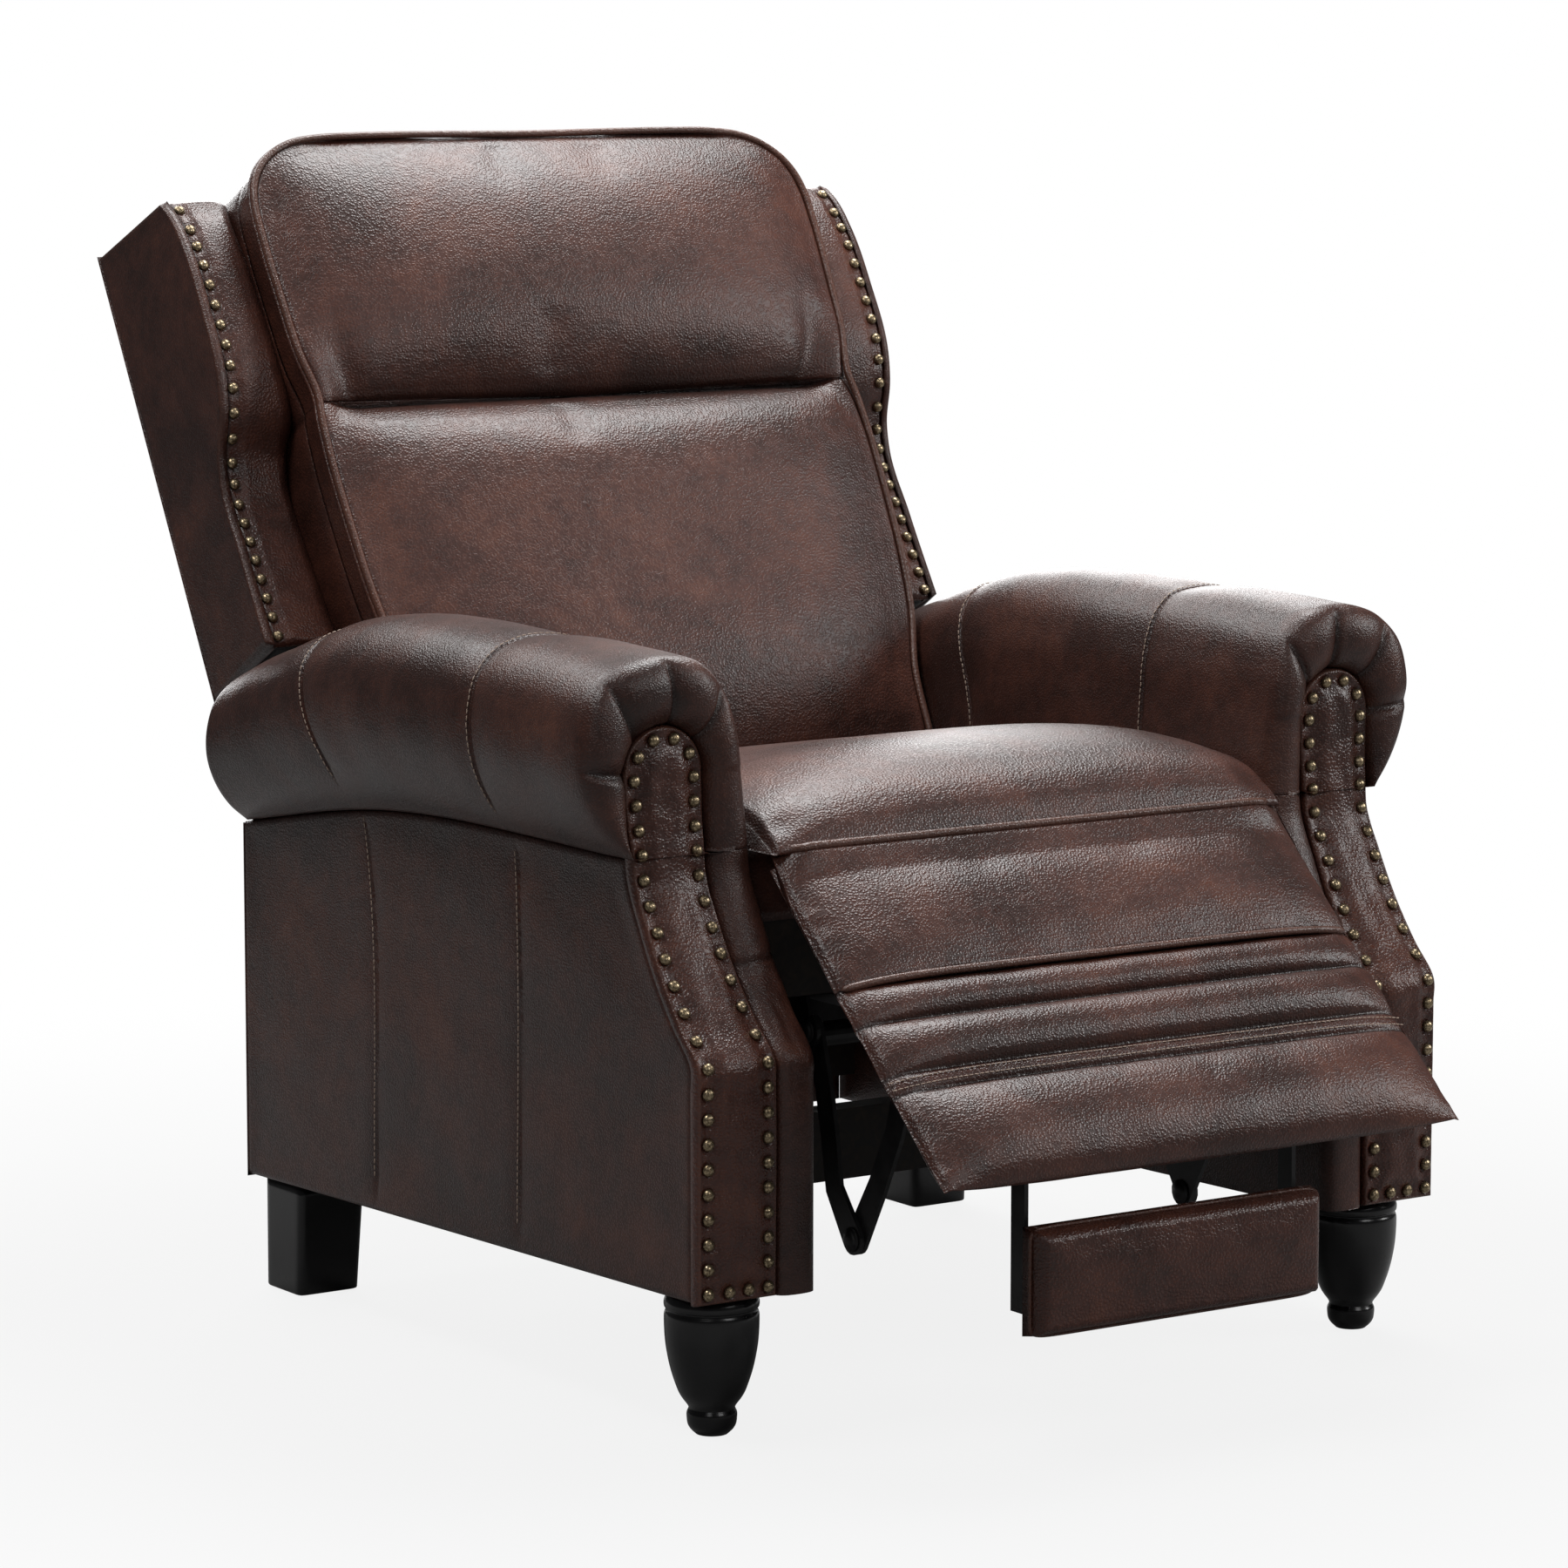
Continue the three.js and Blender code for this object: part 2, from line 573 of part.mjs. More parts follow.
// Seat frame: a box of rails with two inner rails that the side plates are bolted to, and slots
// in the rear rail for the back's hinge plates.
const seatRail = 26;
const seatFrameSideGap = 14.5;
const seatFrameHalf = armGapHalf - seatFrameSideGap;
const seatFrameFront = legThickness + 2 * runGap - seatReach;
const seatFrameRear = seatRear - overrun;
const innerRailX = sidePlateX + plateThickness + gap;
const hingePlateX = seatFrameHalf - seatRail - gap - plateThickness;
const hingePlateBottom = seatFrameBottom + 2 * overrun;
function seatFrame() {
  const outer = block(
    -seatFrameHalf, seatFrameHalf, seatFrameFront, seatFrameRear, seatFrameBottom, seatFrameTop);
  const wells = [
    [-innerRailX, innerRailX],
    [innerRailX + seatRail, seatFrameHalf - seatRail],
    [seatRail - seatFrameHalf, -innerRailX - seatRail]];
  const cuts = wells.map(([x0, x1]) => block(
    x0, x1, seatFrameFront + seatRail, seatFrameRear - seatRail,
    seatFrameBottom - overrun, seatFrameTop + overrun));
  for (const [, side] of sides) {
    cuts.push(block(
      side * (hingePlateX - gap), side * (seatFrameHalf - seatRail),
      seatFrameRear - seatRail - overrun, seatFrameRear + overrun,
      hingePlateBottom - gap, seatFrameTop + overrun));
  }
  return build([outer], cuts);
}
const seat = new THREE.Group();
chair.add(seat);
addPiece(seat, 'seat_frame', seatFrame(), wood);

// Seat springs: zigzag wires hooked from the front rail to the rear rail, tied by two wires.
const springWire = 2.2;
const springSwing = 16;
const springEndInset = 0.87;
const springBends = 9;
const springXShares = [-0.72, -0.24, 0.24, 0.72];
const springDrop = 12;
const tieShares = [0.33, 0.67];
const wireSides = 4;
function wireAlong(points, steps) {
  const path = new THREE.CatmullRomCurve3(points);
  const section = new THREE.Shape(
    arc([0, 0], springWire, 45, 315, wireSides - 1).map(([a, b]) => new THREE.Vector2(a, b)));
  return closedBody(new THREE.ExtrudeGeometry(
    section, { extrudePath: path, steps, bevelEnabled: false }));
}
function seatSprings() {
  const [front, rear] = [
    seatFrameFront + seatRail + springEndInset, seatFrameRear - seatRail - springEndInset];
  const level = seatFrameTop - springDrop;
  const wires = springXShares.map((share) => {
    const points = Array.from({ length: springBends + 1 }, (_, i) => {
      const swing = i > 0 && i < springBends ? springSwing : 0;
      return new THREE.Vector3(
        innerRailX * share + (i % 2 ? swing : -swing),
        front + (rear - front) * i / springBends, level);
    });
    return wireAlong(points, 3 * springBends);
  });
  const half = innerRailX * springXShares[springXShares.length - 1] + springSwing;
  const ties = tieShares.map((share) => {
    const y = front + (rear - front) * share;
    return wireAlong([-half, 0, half].map((x) => new THREE.Vector3(x, y, level)), 2);
  });
  return build([...wires, ...ties]);
}
addPiece(seat, 'seat_springs', seatSprings(), springSteel);

// Seat cushion: crowned, with drawn-in sides and a nose that hangs over the leg panel's fold.
// The section runs from the nose over the crown to the rear, as shares of depth and height.
const seatBottom = seatFrameTop + gap;
const seatHalf = armGapHalf - sideClearance;
const seatDepth = seatReach + seatRear;
const seatNoseBack = legThickness + runGap;
const seatNoseUnder = seatFoldHeight + runGap;
const seatCrownShares = [
  [0, 0.12], [0.015, 0.33], [0.045, 0.58], [0.1, 0.82], [0.17, 0.955], [0.24, 1], [0.34, 0.94],
  [0.445, 0.8], [0.55, 0.67], [0.655, 0.545], [0.76, 0.42], [0.865, 0.25], [0.965, 0.1],
  [1, 0.03]];
const seatStationShares = [
  -1, -0.985, -0.94, -0.85, -0.68, -0.45, -0.2, 0, 0.2, 0.45, 0.68, 0.85, 0.94, 0.985, 1];
const seatEdgeDropShare = 0.42;
const seatEdgePower = 4;
const seatDrawIn = 5;
function seatCushion() {
  const back = seatNoseBack / seatDepth;
  const rings = seatStationShares.map((share) => {
    const kept = 1 - seatEdgeDropShare * Math.abs(share) ** seatEdgePower;
    const place = (along, z) => {
      const drawn = seatHalf - seatDrawIn * Math.sin(Math.PI * along);
      return new THREE.Vector3(share * drawn, seatDepth * along - seatReach, z);
    };
    const crown = seatCrownShares.map(([along, up]) => place(
      along, seatNoseUnder + (seatCrownHeight - seatNoseUnder) * up * kept));
    return [
      ...crown, place(1, seatBottom), place(back, seatBottom), place(back, seatNoseUnder),
      place(0, seatNoseUnder)];
  });
  return loft(rings, rings[0].map(({ y, z }) => new THREE.Vector2(y, z)));
}
addPiece(seat, 'seat_cushion', seatCushion(), leather);

// Side plates: pressed steel that holds the pivots, bolted to the inner rails, with a flange
// that slides on the base rail. The drive link's pin is riveted in.
const drivePivotY = -290;
const drivePivotDrop = 35;
const drivePivotZ = seatFrameBottom - drivePivotDrop;
const driveX = sidePlateX - gap - plateThickness;
const plateBottom = baseRailTop + gap;
const plateRearReach = 25;
const plateRear = seatRear + plateRearReach;
const plateFrontLow = -250;
const plateTabFront = seatFrameFront + seatRail + runGap;
const plateTabRear = seatFrameRear - seatRail - runGap;
const plateTabTop = seatFrameTop - seatRail;
const plateShoulder = seatFrameBottom - runGap;
const bossRadius = 14;
const bossSteps = 8;
const flangeWidth = 24;
function sidePlate(side) {
  const outline = [
    [plateRear, plateBottom], [plateRear, plateShoulder], [plateTabRear, plateShoulder],
    [plateTabRear, plateTabTop], [plateTabFront, plateTabTop], [plateTabFront, plateShoulder],
    ...arc([drivePivotY, drivePivotZ], bossRadius, 100, 235, bossSteps),
    [plateFrontLow, plateBottom]];
  return build([
    plateAcross(outline, side * sidePlateX, side * (sidePlateX + plateThickness)),
    block(
      side * (sidePlateX + plateThickness / 2), side * (sidePlateX + flangeWidth), baseRailFront,
      plateRear, plateBottom, plateBottom + plateThickness),
    barAcross(
      pinRadius, side * driveX, side * (sidePlateX + plateThickness / 2), drivePivotY,
      drivePivotZ)]);
}

// The cross tube keeps the two side plates square.
const crossTubeY = -150;
const crossTubeDrop = 35;
const crossTubeZ = drivePivotZ - crossTubeDrop;
const crossTubeRadius = 11;
addPiece(seat, 'mechanism_cross_tube', barAcross(
  crossTubeRadius, gap - sidePlateX, sidePlateX - gap, crossTubeY, crossTubeZ), blackSteel);

// Hinge plates: bolted inside the seat frame's side rails, they carry the back's pivot pins.
const bracketX = hingePlateX + plateThickness + gap;
const hingePlateLength = 95;
const hingePlateFront = seatRear - hingePlateLength;
const hingeRadius = 16;
const hingeNeckY = seatRear + 2 * runGap;
function hingePlate(side) {
  const top = seatFrameTop - overrun;
  const outline = [
    [hingePlateFront, hingePlateBottom], [seatFrameRear, hingePlateBottom],
    ...arc([backHingeY, backHingeZ], hingeRadius, -70, 110, bossSteps),
    [hingeNeckY, top + runGap], [hingePlateFront, top]];
  return build([
    plateAcross(outline, side * hingePlateX, side * (hingePlateX + plateThickness)),
    barAcross(
      pinRadius, side * (hingePlateX + plateThickness / 2), side * (bracketX + plateThickness),
      backHingeY, backHingeZ)]);
}
for (const [name, side] of sides) {
  addPiece(seat, `${name}_seat_plate`, sidePlate(side), blackSteel);
  addPiece(seat, `${name}_back_hinge_plate`, hingePlate(side), blackSteel);
}

// Back: drawn upright about its hinge, with Y rearward and Z up the back, then leaned.
const back = new THREE.Group();
back.position.set(0, backHingeY, backHingeZ);
back.rotation.x = -THREE.MathUtils.degToRad(backLean);
chair.add(back);
const pillowRear = -36;
// The half-width of the pillows, as shares of the back's height and of its half-width.
const backHalfShares = [
  [0.045, lumbarLowShare], [0.062, 0.863], [0.156, 0.877], [0.245, 0.93], [0.318, 0.953],
  [0.423, 0.967], [0.545, 0.97], [0.593, 0.963], [0.608, 0.957], [0.625, 0.96], [0.668, 0.98],
  [0.752, 0.993], [0.853, 1], [0.901, 0.997], [0.931, 0.98], [0.96, 0.937], [0.976, 0.893],
  [0.988, 0.84], [0.996, 0.773], [1, 0.683]];
const backHalfTable = backHalfShares.map(([up, half]) => [backTop * up, backHalfWidth * half]);
const backBottom = backHalfTable[0][0];
const backHalfAt = (z) => between(backHalfTable, z);

// Pillows. Each row gives a height, the crown's swell in front of the piping, and how far the
// piping itself is drawn back at a seam, all as shares.
const pillowSwell = 16;
const seamDraw = 18;
const lumbarRowShares = [
  [0, 0, 0.28], [0.016, 0.2, 0.11], [0.048, 0.4, 0], [0.12, 0.6, 0], [0.21, 0.75, 0],
  [0.355, 0.9, 0], [0.485, 0.95, 0], [0.67, 0.9, 0], [0.815, 0.7, 0], [0.89, 0.5, 0.06],
  [0.94, 0.3, 0.22], [0.973, 0.12, 0.5], [0.992, 0, 0.78], [1, 0, 1]];
const headRowShares = [
  [0, 0, 1], [0.014, 0, 0.72], [0.041, 0.12, 0.5], [0.095, 0.3, 0.22], [0.152, 0.5, 0.06],
  [0.256, 0.75, 0], [0.367, 0.95, 0], [0.5, 1, 0], [0.624, 0.95, 0], [0.766, 0.75, 0],
  [0.85, 0.55, 0.03], [0.92, 0.3, 0.08], [0.958, 0.2, 0.1], [0.98, 0.08, 0.14], [1, 0, 0.22]];
const pillowAcrossShares = [
  -1, -0.975, -0.92, -0.82, -0.65, -0.4, -0.14, 0.14, 0.4, 0.65, 0.82, 0.92, 0.975, 1];
const pillowPower = 3;
const pillowEdgeRound = 7;
const pillowDrawIn = 4.5;
const pillowRearInset = 3.2;
function pillow(rowShares, bottom, top) {
  const rings = rowShares.map(([up, swellShare, drawnShare]) => {
    const z = bottom + (top - bottom) * up;
    const [swell, drawn] = [pillowSwell * swellShare, seamDraw * drawnShare];
    const half = backHalfAt(z);
    const front = pillowAcrossShares.map((share) => {
      const crown = 1 - Math.abs(share) ** pillowPower;
      const edge = Math.abs(share) === 1 ? pillowEdgeRound : 0;
      return new THREE.Vector3(
        half * share, Math.min(drawn + edge - backFront - swell * crown, pillowRear - runGap), z);
    });
    const middle = (pillowRear - backFront) / 2;
    return [
      ...front, new THREE.Vector3(half - pillowDrawIn, middle + gap, z),
      new THREE.Vector3(half - pillowRearInset, pillowRear, z),
      new THREE.Vector3(pillowRearInset - half, pillowRear, z),
      new THREE.Vector3(pillowDrawIn - half, middle + gap, z)];
  });
  return loft(rings, rings[3].map(({ x, y }) => new THREE.Vector2(x, y)));
}
addPiece(back, 'lumbar_cushion', pillow(
  lumbarRowShares, backBottom, lumbarSeamHeight - gap), leather);
addPiece(back, 'head_pillow', pillow(headRowShares, lumbarSeamHeight + gap, backTop), leather);

// Boxing: the leather band and foam round the back frame, open to the rear and below.
const boxingInset = 2.5;
const boxingFront = pillowRear + gap;
const coverThickness = 11;
const backShellRear = backRear - coverThickness - gap;
const frameBoardX = bracketX + plateThickness + gap;
const frameBoardThickness = 22;
const frameBoardOuter = frameBoardX + frameBoardThickness;
const shellClearance = 1.2;
const shellHalf = frameBoardOuter + shellClearance;
const frameBoardFront = 2.3;
const shellTopDrop = 25;
const shellTop = backTop - shellTopDrop;
const boxingTop = backTop - runGap;
function backBoxing() {
  const heights = backHalfTable.map(([z]) => Math.min(z, boxingTop));
  const rings = heights.map((z, i) => {
    const half = backHalfTable[i][1] - boxingInset;
    return [
      new THREE.Vector3(-half, boxingFront, z), new THREE.Vector3(half, boxingFront, z),
      new THREE.Vector3(half, backShellRear, z), new THREE.Vector3(-half, backShellRear, z)];
  });
  rings.splice(-2, 1);
  const outer = loft(rings, rings[0].map(({ x, y }) => new THREE.Vector2(x, y)));
  return build([outer], [block(
    -shellHalf, shellHalf, frameBoardFront - gap, backShellRear + overrun,
    backBottom - overrun, shellTop)]);
}
addPiece(back, 'back_boxing', backBoxing(), leather);

// Back frame: two side boards and three cross rails.
const frameBoardBottom = -20;
const frameBoardTop = shellTop - gap;
const frameBoardRear = backShellRear - gap;
const backRailFront = 72;
const backRailHeight = 60;
const backRailTopShares = [0.14, 0.5, 1];
function backFrame() {
  const boards = sides.map(([, side]) => block(
    side * frameBoardX, side * frameBoardOuter, frameBoardFront, frameBoardRear,
    frameBoardBottom, frameBoardTop));
  const rails = backRailTopShares.map((share) => block(
    -frameBoardX - overrun, frameBoardX + overrun, backRailFront, frameBoardRear,
    frameBoardTop * share - backRailHeight, frameBoardTop * share));
  return build([...boards, ...rails]);
}
addPiece(back, 'back_frame', backFrame(), wood);

// Rear covers: a tall panel that spans the wings, and a lower panel between the arms.
const coverFront = backShellRear + gap;
const coverShoulderInset = 38;
const coverCrownInset = 60;
const coverCrownDrop = 11;
const wingRearSlope = 8;
const wingRearRise = 10;
const coverShoulderHalf = backHalfWidth - coverShoulderInset;
const coverCrownHalf = backHalfWidth - coverCrownInset;
const coverCrown = backTop - coverCrownDrop;
const wingBottomRear = wingBottom - wingRearSlope;
const wingTopRear = wingTop + wingRearRise;
const lowerCoverHalf = armGapHalf - lumbarClearance;
function rearCover() {
  const half = [
    [wingHalfWidth, wingBottomRear], [wingHalfWidth, wingTopRear],
    [coverShoulderHalf, wingTopRear],
    [coverCrownHalf, coverCrown]];
  const outline = [...half, ...half.map(([x, z]) => [-x, z]).reverse()];
  return plateAlong(outline, coverFront, backRear);
}
addPiece(back, 'back_outer_panel', rearCover(), leather);
addPiece(back, 'back_lower_panel', block(
  -lowerCoverHalf, lowerCoverHalf, coverFront, backRear, frameBoardBottom, wingBottomRear - gap),
leather);

// Wings: a padded body beside the boxing, a flat outer panel and a row of nails.
const wingPanelThickness = 8;
const wingPadOuter = wingHalfWidth - wingPanelThickness - gap;
const wingFrontShares = [
  [0, 0.09], [0.206, 0], [0.379, 0], [0.426, 0.15], [0.5, 0.65], [0.547, 0.85], [0.73, 1],
  [0.87, 0.91], [0.955, 0.7], [1, 0.46]];
const wingFrontLine = wingFrontShares.map(([up, reach]) => [
  wingBottom + (wingTop - wingBottom) * up, -wingReach * reach]);
const wingFrontAt = (z) => between(wingFrontLine, z);
const wingHeights = [...wingFrontLine, ...backHalfTable].map(([z]) => z)
  .filter((z, i, all) => z >= wingBottom && z <= wingTop && all.indexOf(z) === i)
  .sort((a, b) => a - b);
const wingRound = 10;
const wingRoundShare = 0.3;
const wingFlat = 22;
const wingTopFront = wingFrontAt(wingTop);
const wingTopSlope = (wingTopRear - wingTop) / (backShellRear - wingTopFront);
function wingPad(side) {
  const rings = wingHeights.map((z) => {
    const inner = backHalfAt(z) - boxingInset + gap;
    const front = wingFrontAt(z);
    return [
      [inner, backShellRear], [inner, front + wingRound],
      [inner + wingRound * wingRoundShare, front + wingRound * wingRoundShare],
      [inner + wingRound, front], [wingPadOuter - wingFlat, front], [wingPadOuter, front],
      [wingPadOuter, backShellRear]].map(([x, y]) => new THREE.Vector3(
      side * x, y, z === wingTop ? z + wingTopSlope * (y - front) : z));
  });
  return loft(rings, rings[0].map(({ x, y }) => new THREE.Vector2(x, y)));
}
function wingPanel(side) {
  const outline = [
    [backShellRear, wingBottomRear], ...wingFrontLine.map(([z, y]) => [y, z]),
    [backShellRear, wingTopRear]];
  return plateAcross(outline, side * (wingHalfWidth - wingPanelThickness), side * wingHalfWidth);
}
const wingNailX = wingPadOuter - nailRadius - gap;
const wingNailEnd = 8;
const wingNailPitch = 19;
function wingNails(side) {
  const stops = [
    [wingNailX, wingBottom + wingNailEnd],
    ...wingFrontLine.slice(4, -1).map(([z]) => [wingNailX, z]),
    [wingNailX, wingTop - wingNailEnd]];
  const runs = stops.slice(1).map((stop, i) => [stops[i], stop]);
  const places = spread(runs, wingNailPitch);
  return nailTrim((i) => {
    const [x, z] = places[i].at;
    const { slope, depth } = nailSeat(wingFrontAt, z);
    const out = new THREE.Vector3(0, -1, slope).normalize();
    const along = new THREE.Vector3(0, slope, 1).normalize();
    const point = new THREE.Vector3(side * x, depth, z);
    return { point, out, along, across: along.clone().cross(out) };
  }, places.length);
}

// Back brackets: steel straps on the frame boards, bored for the hinge pins.
const bracketFront = 5;
const bracketRear = 60;
const bracketLow = 25;
const bracketHigh = 250;
const boreRadius = pinRadius + pinClearance;
const bore = (y, z) => arc([y, z], boreRadius, 0, 360, pinSides).slice(1);
function backBracket(side) {
  const outline = [
    ...arc([0, 0], hingeRadius, 190, 350, bossSteps), [bracketRear, bracketLow],
    [bracketRear, bracketHigh], [bracketFront, bracketHigh], [bracketFront, bracketLow]];
  return plateAcross(
    outline, side * bracketX, side * (bracketX + plateThickness), [bore(0, 0)]);
}
for (const [name, side] of sides) {
  addPiece(back, `${name}_wing_pad`, wingPad(side), leather);
  addPiece(back, `${name}_wing_panel`, wingPanel(side), leather);
  addPiece(back, `${name}_wing_nails`, wingNails(side), brass);
  addPiece(back, `${name}_back_bracket`, backBracket(side), blackSteel);
}

// Leg panel: drawn level about its fold line, with -Y outward along the panel and +Z through
// the cushion, then lowered to the half-open pose.
const leg = new THREE.Group();
leg.position.set(0, -seatReach, seatFoldHeight);
leg.rotation.x = THREE.MathUtils.degToRad(legDrop);
chair.add(leg);
const legHalf = seatHalf;
const legBoardSideInset = 32;
const legBoardFarInset = 31;
const legBoardHalf = legHalf - legBoardSideInset;
const legBoardThickness = 14;
const legBoardNear = 6;
const legBoardFar = legLength - legBoardFarInset;
const legBoardTop = legBoardThickness - legThickness;
const legPadBottom = legBoardTop + gap;
const legPadRearInset = 14;

// The pad's face as rows of reach and swell shares, with two piped folds and a sewn channel.
const legSwell = 11;
const legFaceShares = [
  [0.006, -1.1], [0.015, -0.27], [0.042, 0.27], [0.121, 0.55], [0.227, 0.64], [0.326, 0.45],
  [0.375, 0.1], [0.393, -0.36], [0.411, 0.27], [0.45, 0.73], [0.486, 0.27], [0.508, -0.27],
  [0.529, 0.36], [0.586, 0.82], [0.637, 0.36], [0.662, -0.27], [0.686, 0.36], [0.743, 0.82],
  [0.831, 1], [0.915, 0.82], [0.967, 0.36], [0.991, -0.36], [1, -1.27]];
const legStationShares = [
  -1, -0.985, -0.94, -0.84, -0.66, -0.4, -0.14, 0.14, 0.4, 0.66, 0.84, 0.94, 0.985, 1];
const legEdgePower = 6;
const legEdgeFall = 9;
function legPad() {
  const rings = legStationShares.map((share) => {
    const edge = Math.abs(share) ** legEdgePower;
    const face = legFaceShares.map(([reach, swell]) => new THREE.Vector3(
      share * legHalf, -legLength * reach, legSwell * swell * (1 - edge) - legEdgeFall * edge));
    const rear = share * (legHalf - legPadRearInset);
    return [
      ...face, new THREE.Vector3(rear, legPadRearInset - legLength, legPadBottom),
      new THREE.Vector3(rear, -legLength * legFaceShares[0][0], legPadBottom)];
  });
  return loft(rings, rings[0].map(({ y, z }) => new THREE.Vector2(y, z)));
}
addPiece(leg, 'leg_pad', legPad(), leather);
addPiece(leg, 'leg_board', block(
  -legBoardHalf, legBoardHalf, -legBoardFar, -legBoardNear, -legThickness, legBoardTop),
wood);

// Leg brackets carry the pins of the ottoman links. Their places match a parallelogram whose
// other corners are the fold line, the side plate's pivot and the elbow between the links.
const elbowY = -348;
const elbowDrop = 166;
const elbowZ = drivePivotZ - elbowDrop;
const ottomanX = driveX - gap - plateThickness;
const earX = ottomanX - gap - plateThickness;
const linkY = elbowY - drivePivotY;
const linkZ = elbowZ - drivePivotZ;
const legTurn = THREE.MathUtils.degToRad(legDrop);
const legPinReach = -(linkY * Math.cos(legTurn) + linkZ * Math.sin(legTurn));
const legPinDepth = linkZ * Math.cos(legTurn) - linkY * Math.sin(legTurn);
const footTop = -legThickness - gap;
const footBottom = footTop - plateThickness;
const earRadius = 13;
const legFootNear = 132;
const legFootFar = 190;
function legBracket(side) {
  const foot = [[-legFootFar, footTop], [-legFootNear, footTop]];
  const ear = [...foot, ...arc([-legPinReach, legPinDepth], earRadius, 0, -180, bossSteps)];
  return build([
    plateAcross(ear, side * earX, side * (earX + plateThickness)),
    block(
      side * (earX - flangeWidth + plateThickness), side * (earX + plateThickness / 2),
      -legFootFar, -legFootNear, footBottom, footTop),
    barAcross(
      pinRadius, side * (earX + plateThickness / 2), side * (ottomanX + plateThickness),
      -legPinReach, legPinDepth)]);
}

// Flipper hinges: small ears near the panel's far edge with pins that point inward.
const flipperPinReach = 278;
const flipperPinDrop = 12.7;
const flipperPinDepth = -legThickness - flipperPinDrop;
const flipperArmInset = 41;
const flipperArmX = sidePlateX - flipperArmInset;
const flipperEarX = flipperArmX + plateThickness + gap;
const flipperEarRadius = 10;
const flipperFootLength = 43;
const flipperFootFar = legBoardFar - runGap;
const flipperFootNear = flipperFootFar - flipperFootLength;
function flipperHinge(side) {
  const foot = [[-flipperFootFar, footTop], [-flipperFootNear, footTop]];
  const ear = [
    ...foot, ...arc([-flipperPinReach, flipperPinDepth], flipperEarRadius, -20, -160, bossSteps)];
  return build([
    plateAcross(ear, side * flipperEarX, side * (flipperEarX + plateThickness)),
    block(
      side * (flipperEarX + plateThickness / 2), side * (flipperEarX + flangeWidth),
      -flipperFootFar, -flipperFootNear, footBottom, footTop),
    barAcross(
      pinRadius, side * flipperArmX, side * (flipperEarX + plateThickness / 2),
      -flipperPinReach, flipperPinDepth)]);
}

// Flipper: a narrow pad on two strips, drawn like the leg panel and turned down to hang.
const flipper = new THREE.Group();
flipper.position.set(0, -flipperPinReach, flipperPinDepth);
flipper.rotation.x = THREE.MathUtils.degToRad(90 - legDrop);
leg.add(flipper);
const flipperStripHalf = 9;
const flipperStripEnd = 126;
const flipperNear = 52;
const flipperFar = 141;
const flipperBoardThickness = 7.7;
const flipperBoardSideInset = 7;
const flipperBoardInset = 7;
const flipperPadLap = 12;
const flipperPadHalf = flipperArmX + flipperPadLap;
const flipperBoardHalf = flipperPadHalf - flipperBoardSideInset;
const flipperPadFace = 40;
const flipperSwell = 9;
const flipperRearInset = 6.5;
const flipperFaceShares = [
  [0, -1], [0.04, -0.35], [0.14, 0], [0.5, 0.1], [0.86, 0], [0.96, -0.35], [1, -1]];
const flipperStationShares = [-1, -0.97, -0.88, -0.5, 0, 0.5, 0.88, 0.97, 1];
const flipperEdgeFall = 6;
const flipperBoardBottom = flipperStripHalf + gap;
const flipperPadBottom = flipperBoardBottom + flipperBoardThickness + gap;
function flipperPad() {
  const [near, far] = [flipperNear + flipperBoardInset, flipperFar - flipperBoardInset];
  const rings = flipperStationShares.map((share) => {
    const fall = flipperEdgeFall * Math.abs(share) ** legEdgePower;
    const face = flipperFaceShares.map(([along, swell]) => new THREE.Vector3(
      share * flipperPadHalf, -flipperNear - (flipperFar - flipperNear) * along,
      flipperPadFace + flipperSwell * swell - fall));
    const rear = share * (flipperPadHalf - flipperRearInset);
    return [
      ...face, new THREE.Vector3(rear, -far, flipperPadBottom),
      new THREE.Vector3(rear, -near, flipperPadBottom)];
  });
  return loft(rings, rings[0].map(({ y, z }) => new THREE.Vector2(y, z)));
}
addPiece(flipper, 'flipper_pad', flipperPad(), leather);
addPiece(flipper, 'flipper_board', block(
  -flipperBoardHalf, flipperBoardHalf, flipperBoardInset - flipperFar,
  -flipperNear - flipperBoardInset, flipperBoardBottom,
  flipperBoardBottom + flipperBoardThickness), wood);
function flipperArm(side) {
  const outline = [
    [-flipperStripEnd, flipperStripHalf], [-flipperStripEnd, -flipperStripHalf],
    ...arc([0, 0], flipperStripHalf, -90, 90, bossSteps)];
  return plateAcross(
    outline, side * flipperArmX, side * (flipperArmX + plateThickness), [bore(0, 0)]);
}

// Links: curved steel straps drawn along a run of points, with round ends.
const linkHalf = 11;
const linkEndRadius = 13;
function linkOutline(points) {
  const normals = points.map((point, i) => {
    const [a, b] = [points[Math.max(i - 1, 0)], points[Math.min(i + 1, points.length - 1)]];
    const length = Math.hypot(b[0] - a[0], b[1] - a[1]);
    return [-(b[1] - a[1]) / length, (b[0] - a[0]) / length];
  });
  const edge = (sign) => points.slice(1, -1).map(([y, z], i) => [
    y + sign * linkHalf * normals[i + 1][0], z + sign * linkHalf * normals[i + 1][1]]);
  const cap = (i, turn) => {
    const from = THREE.MathUtils.radToDeg(Math.atan2(normals[i][1], normals[i][0])) + turn;
    return arc(points[i], linkEndRadius, from, from + 180, bossSteps);
  };
  return [...cap(0, 0), ...edge(-1), ...cap(points.length - 1, 180), ...edge(1).reverse()];
}
const driveBowShares = [[0, 0], [0.27, 0], [0.5, 0.03], [0.745, 0.074], [1, 0]];
const ottomanBowShares = [[0, 0], [0.322, 0.034], [0.62, 0.043], [1, 0]];
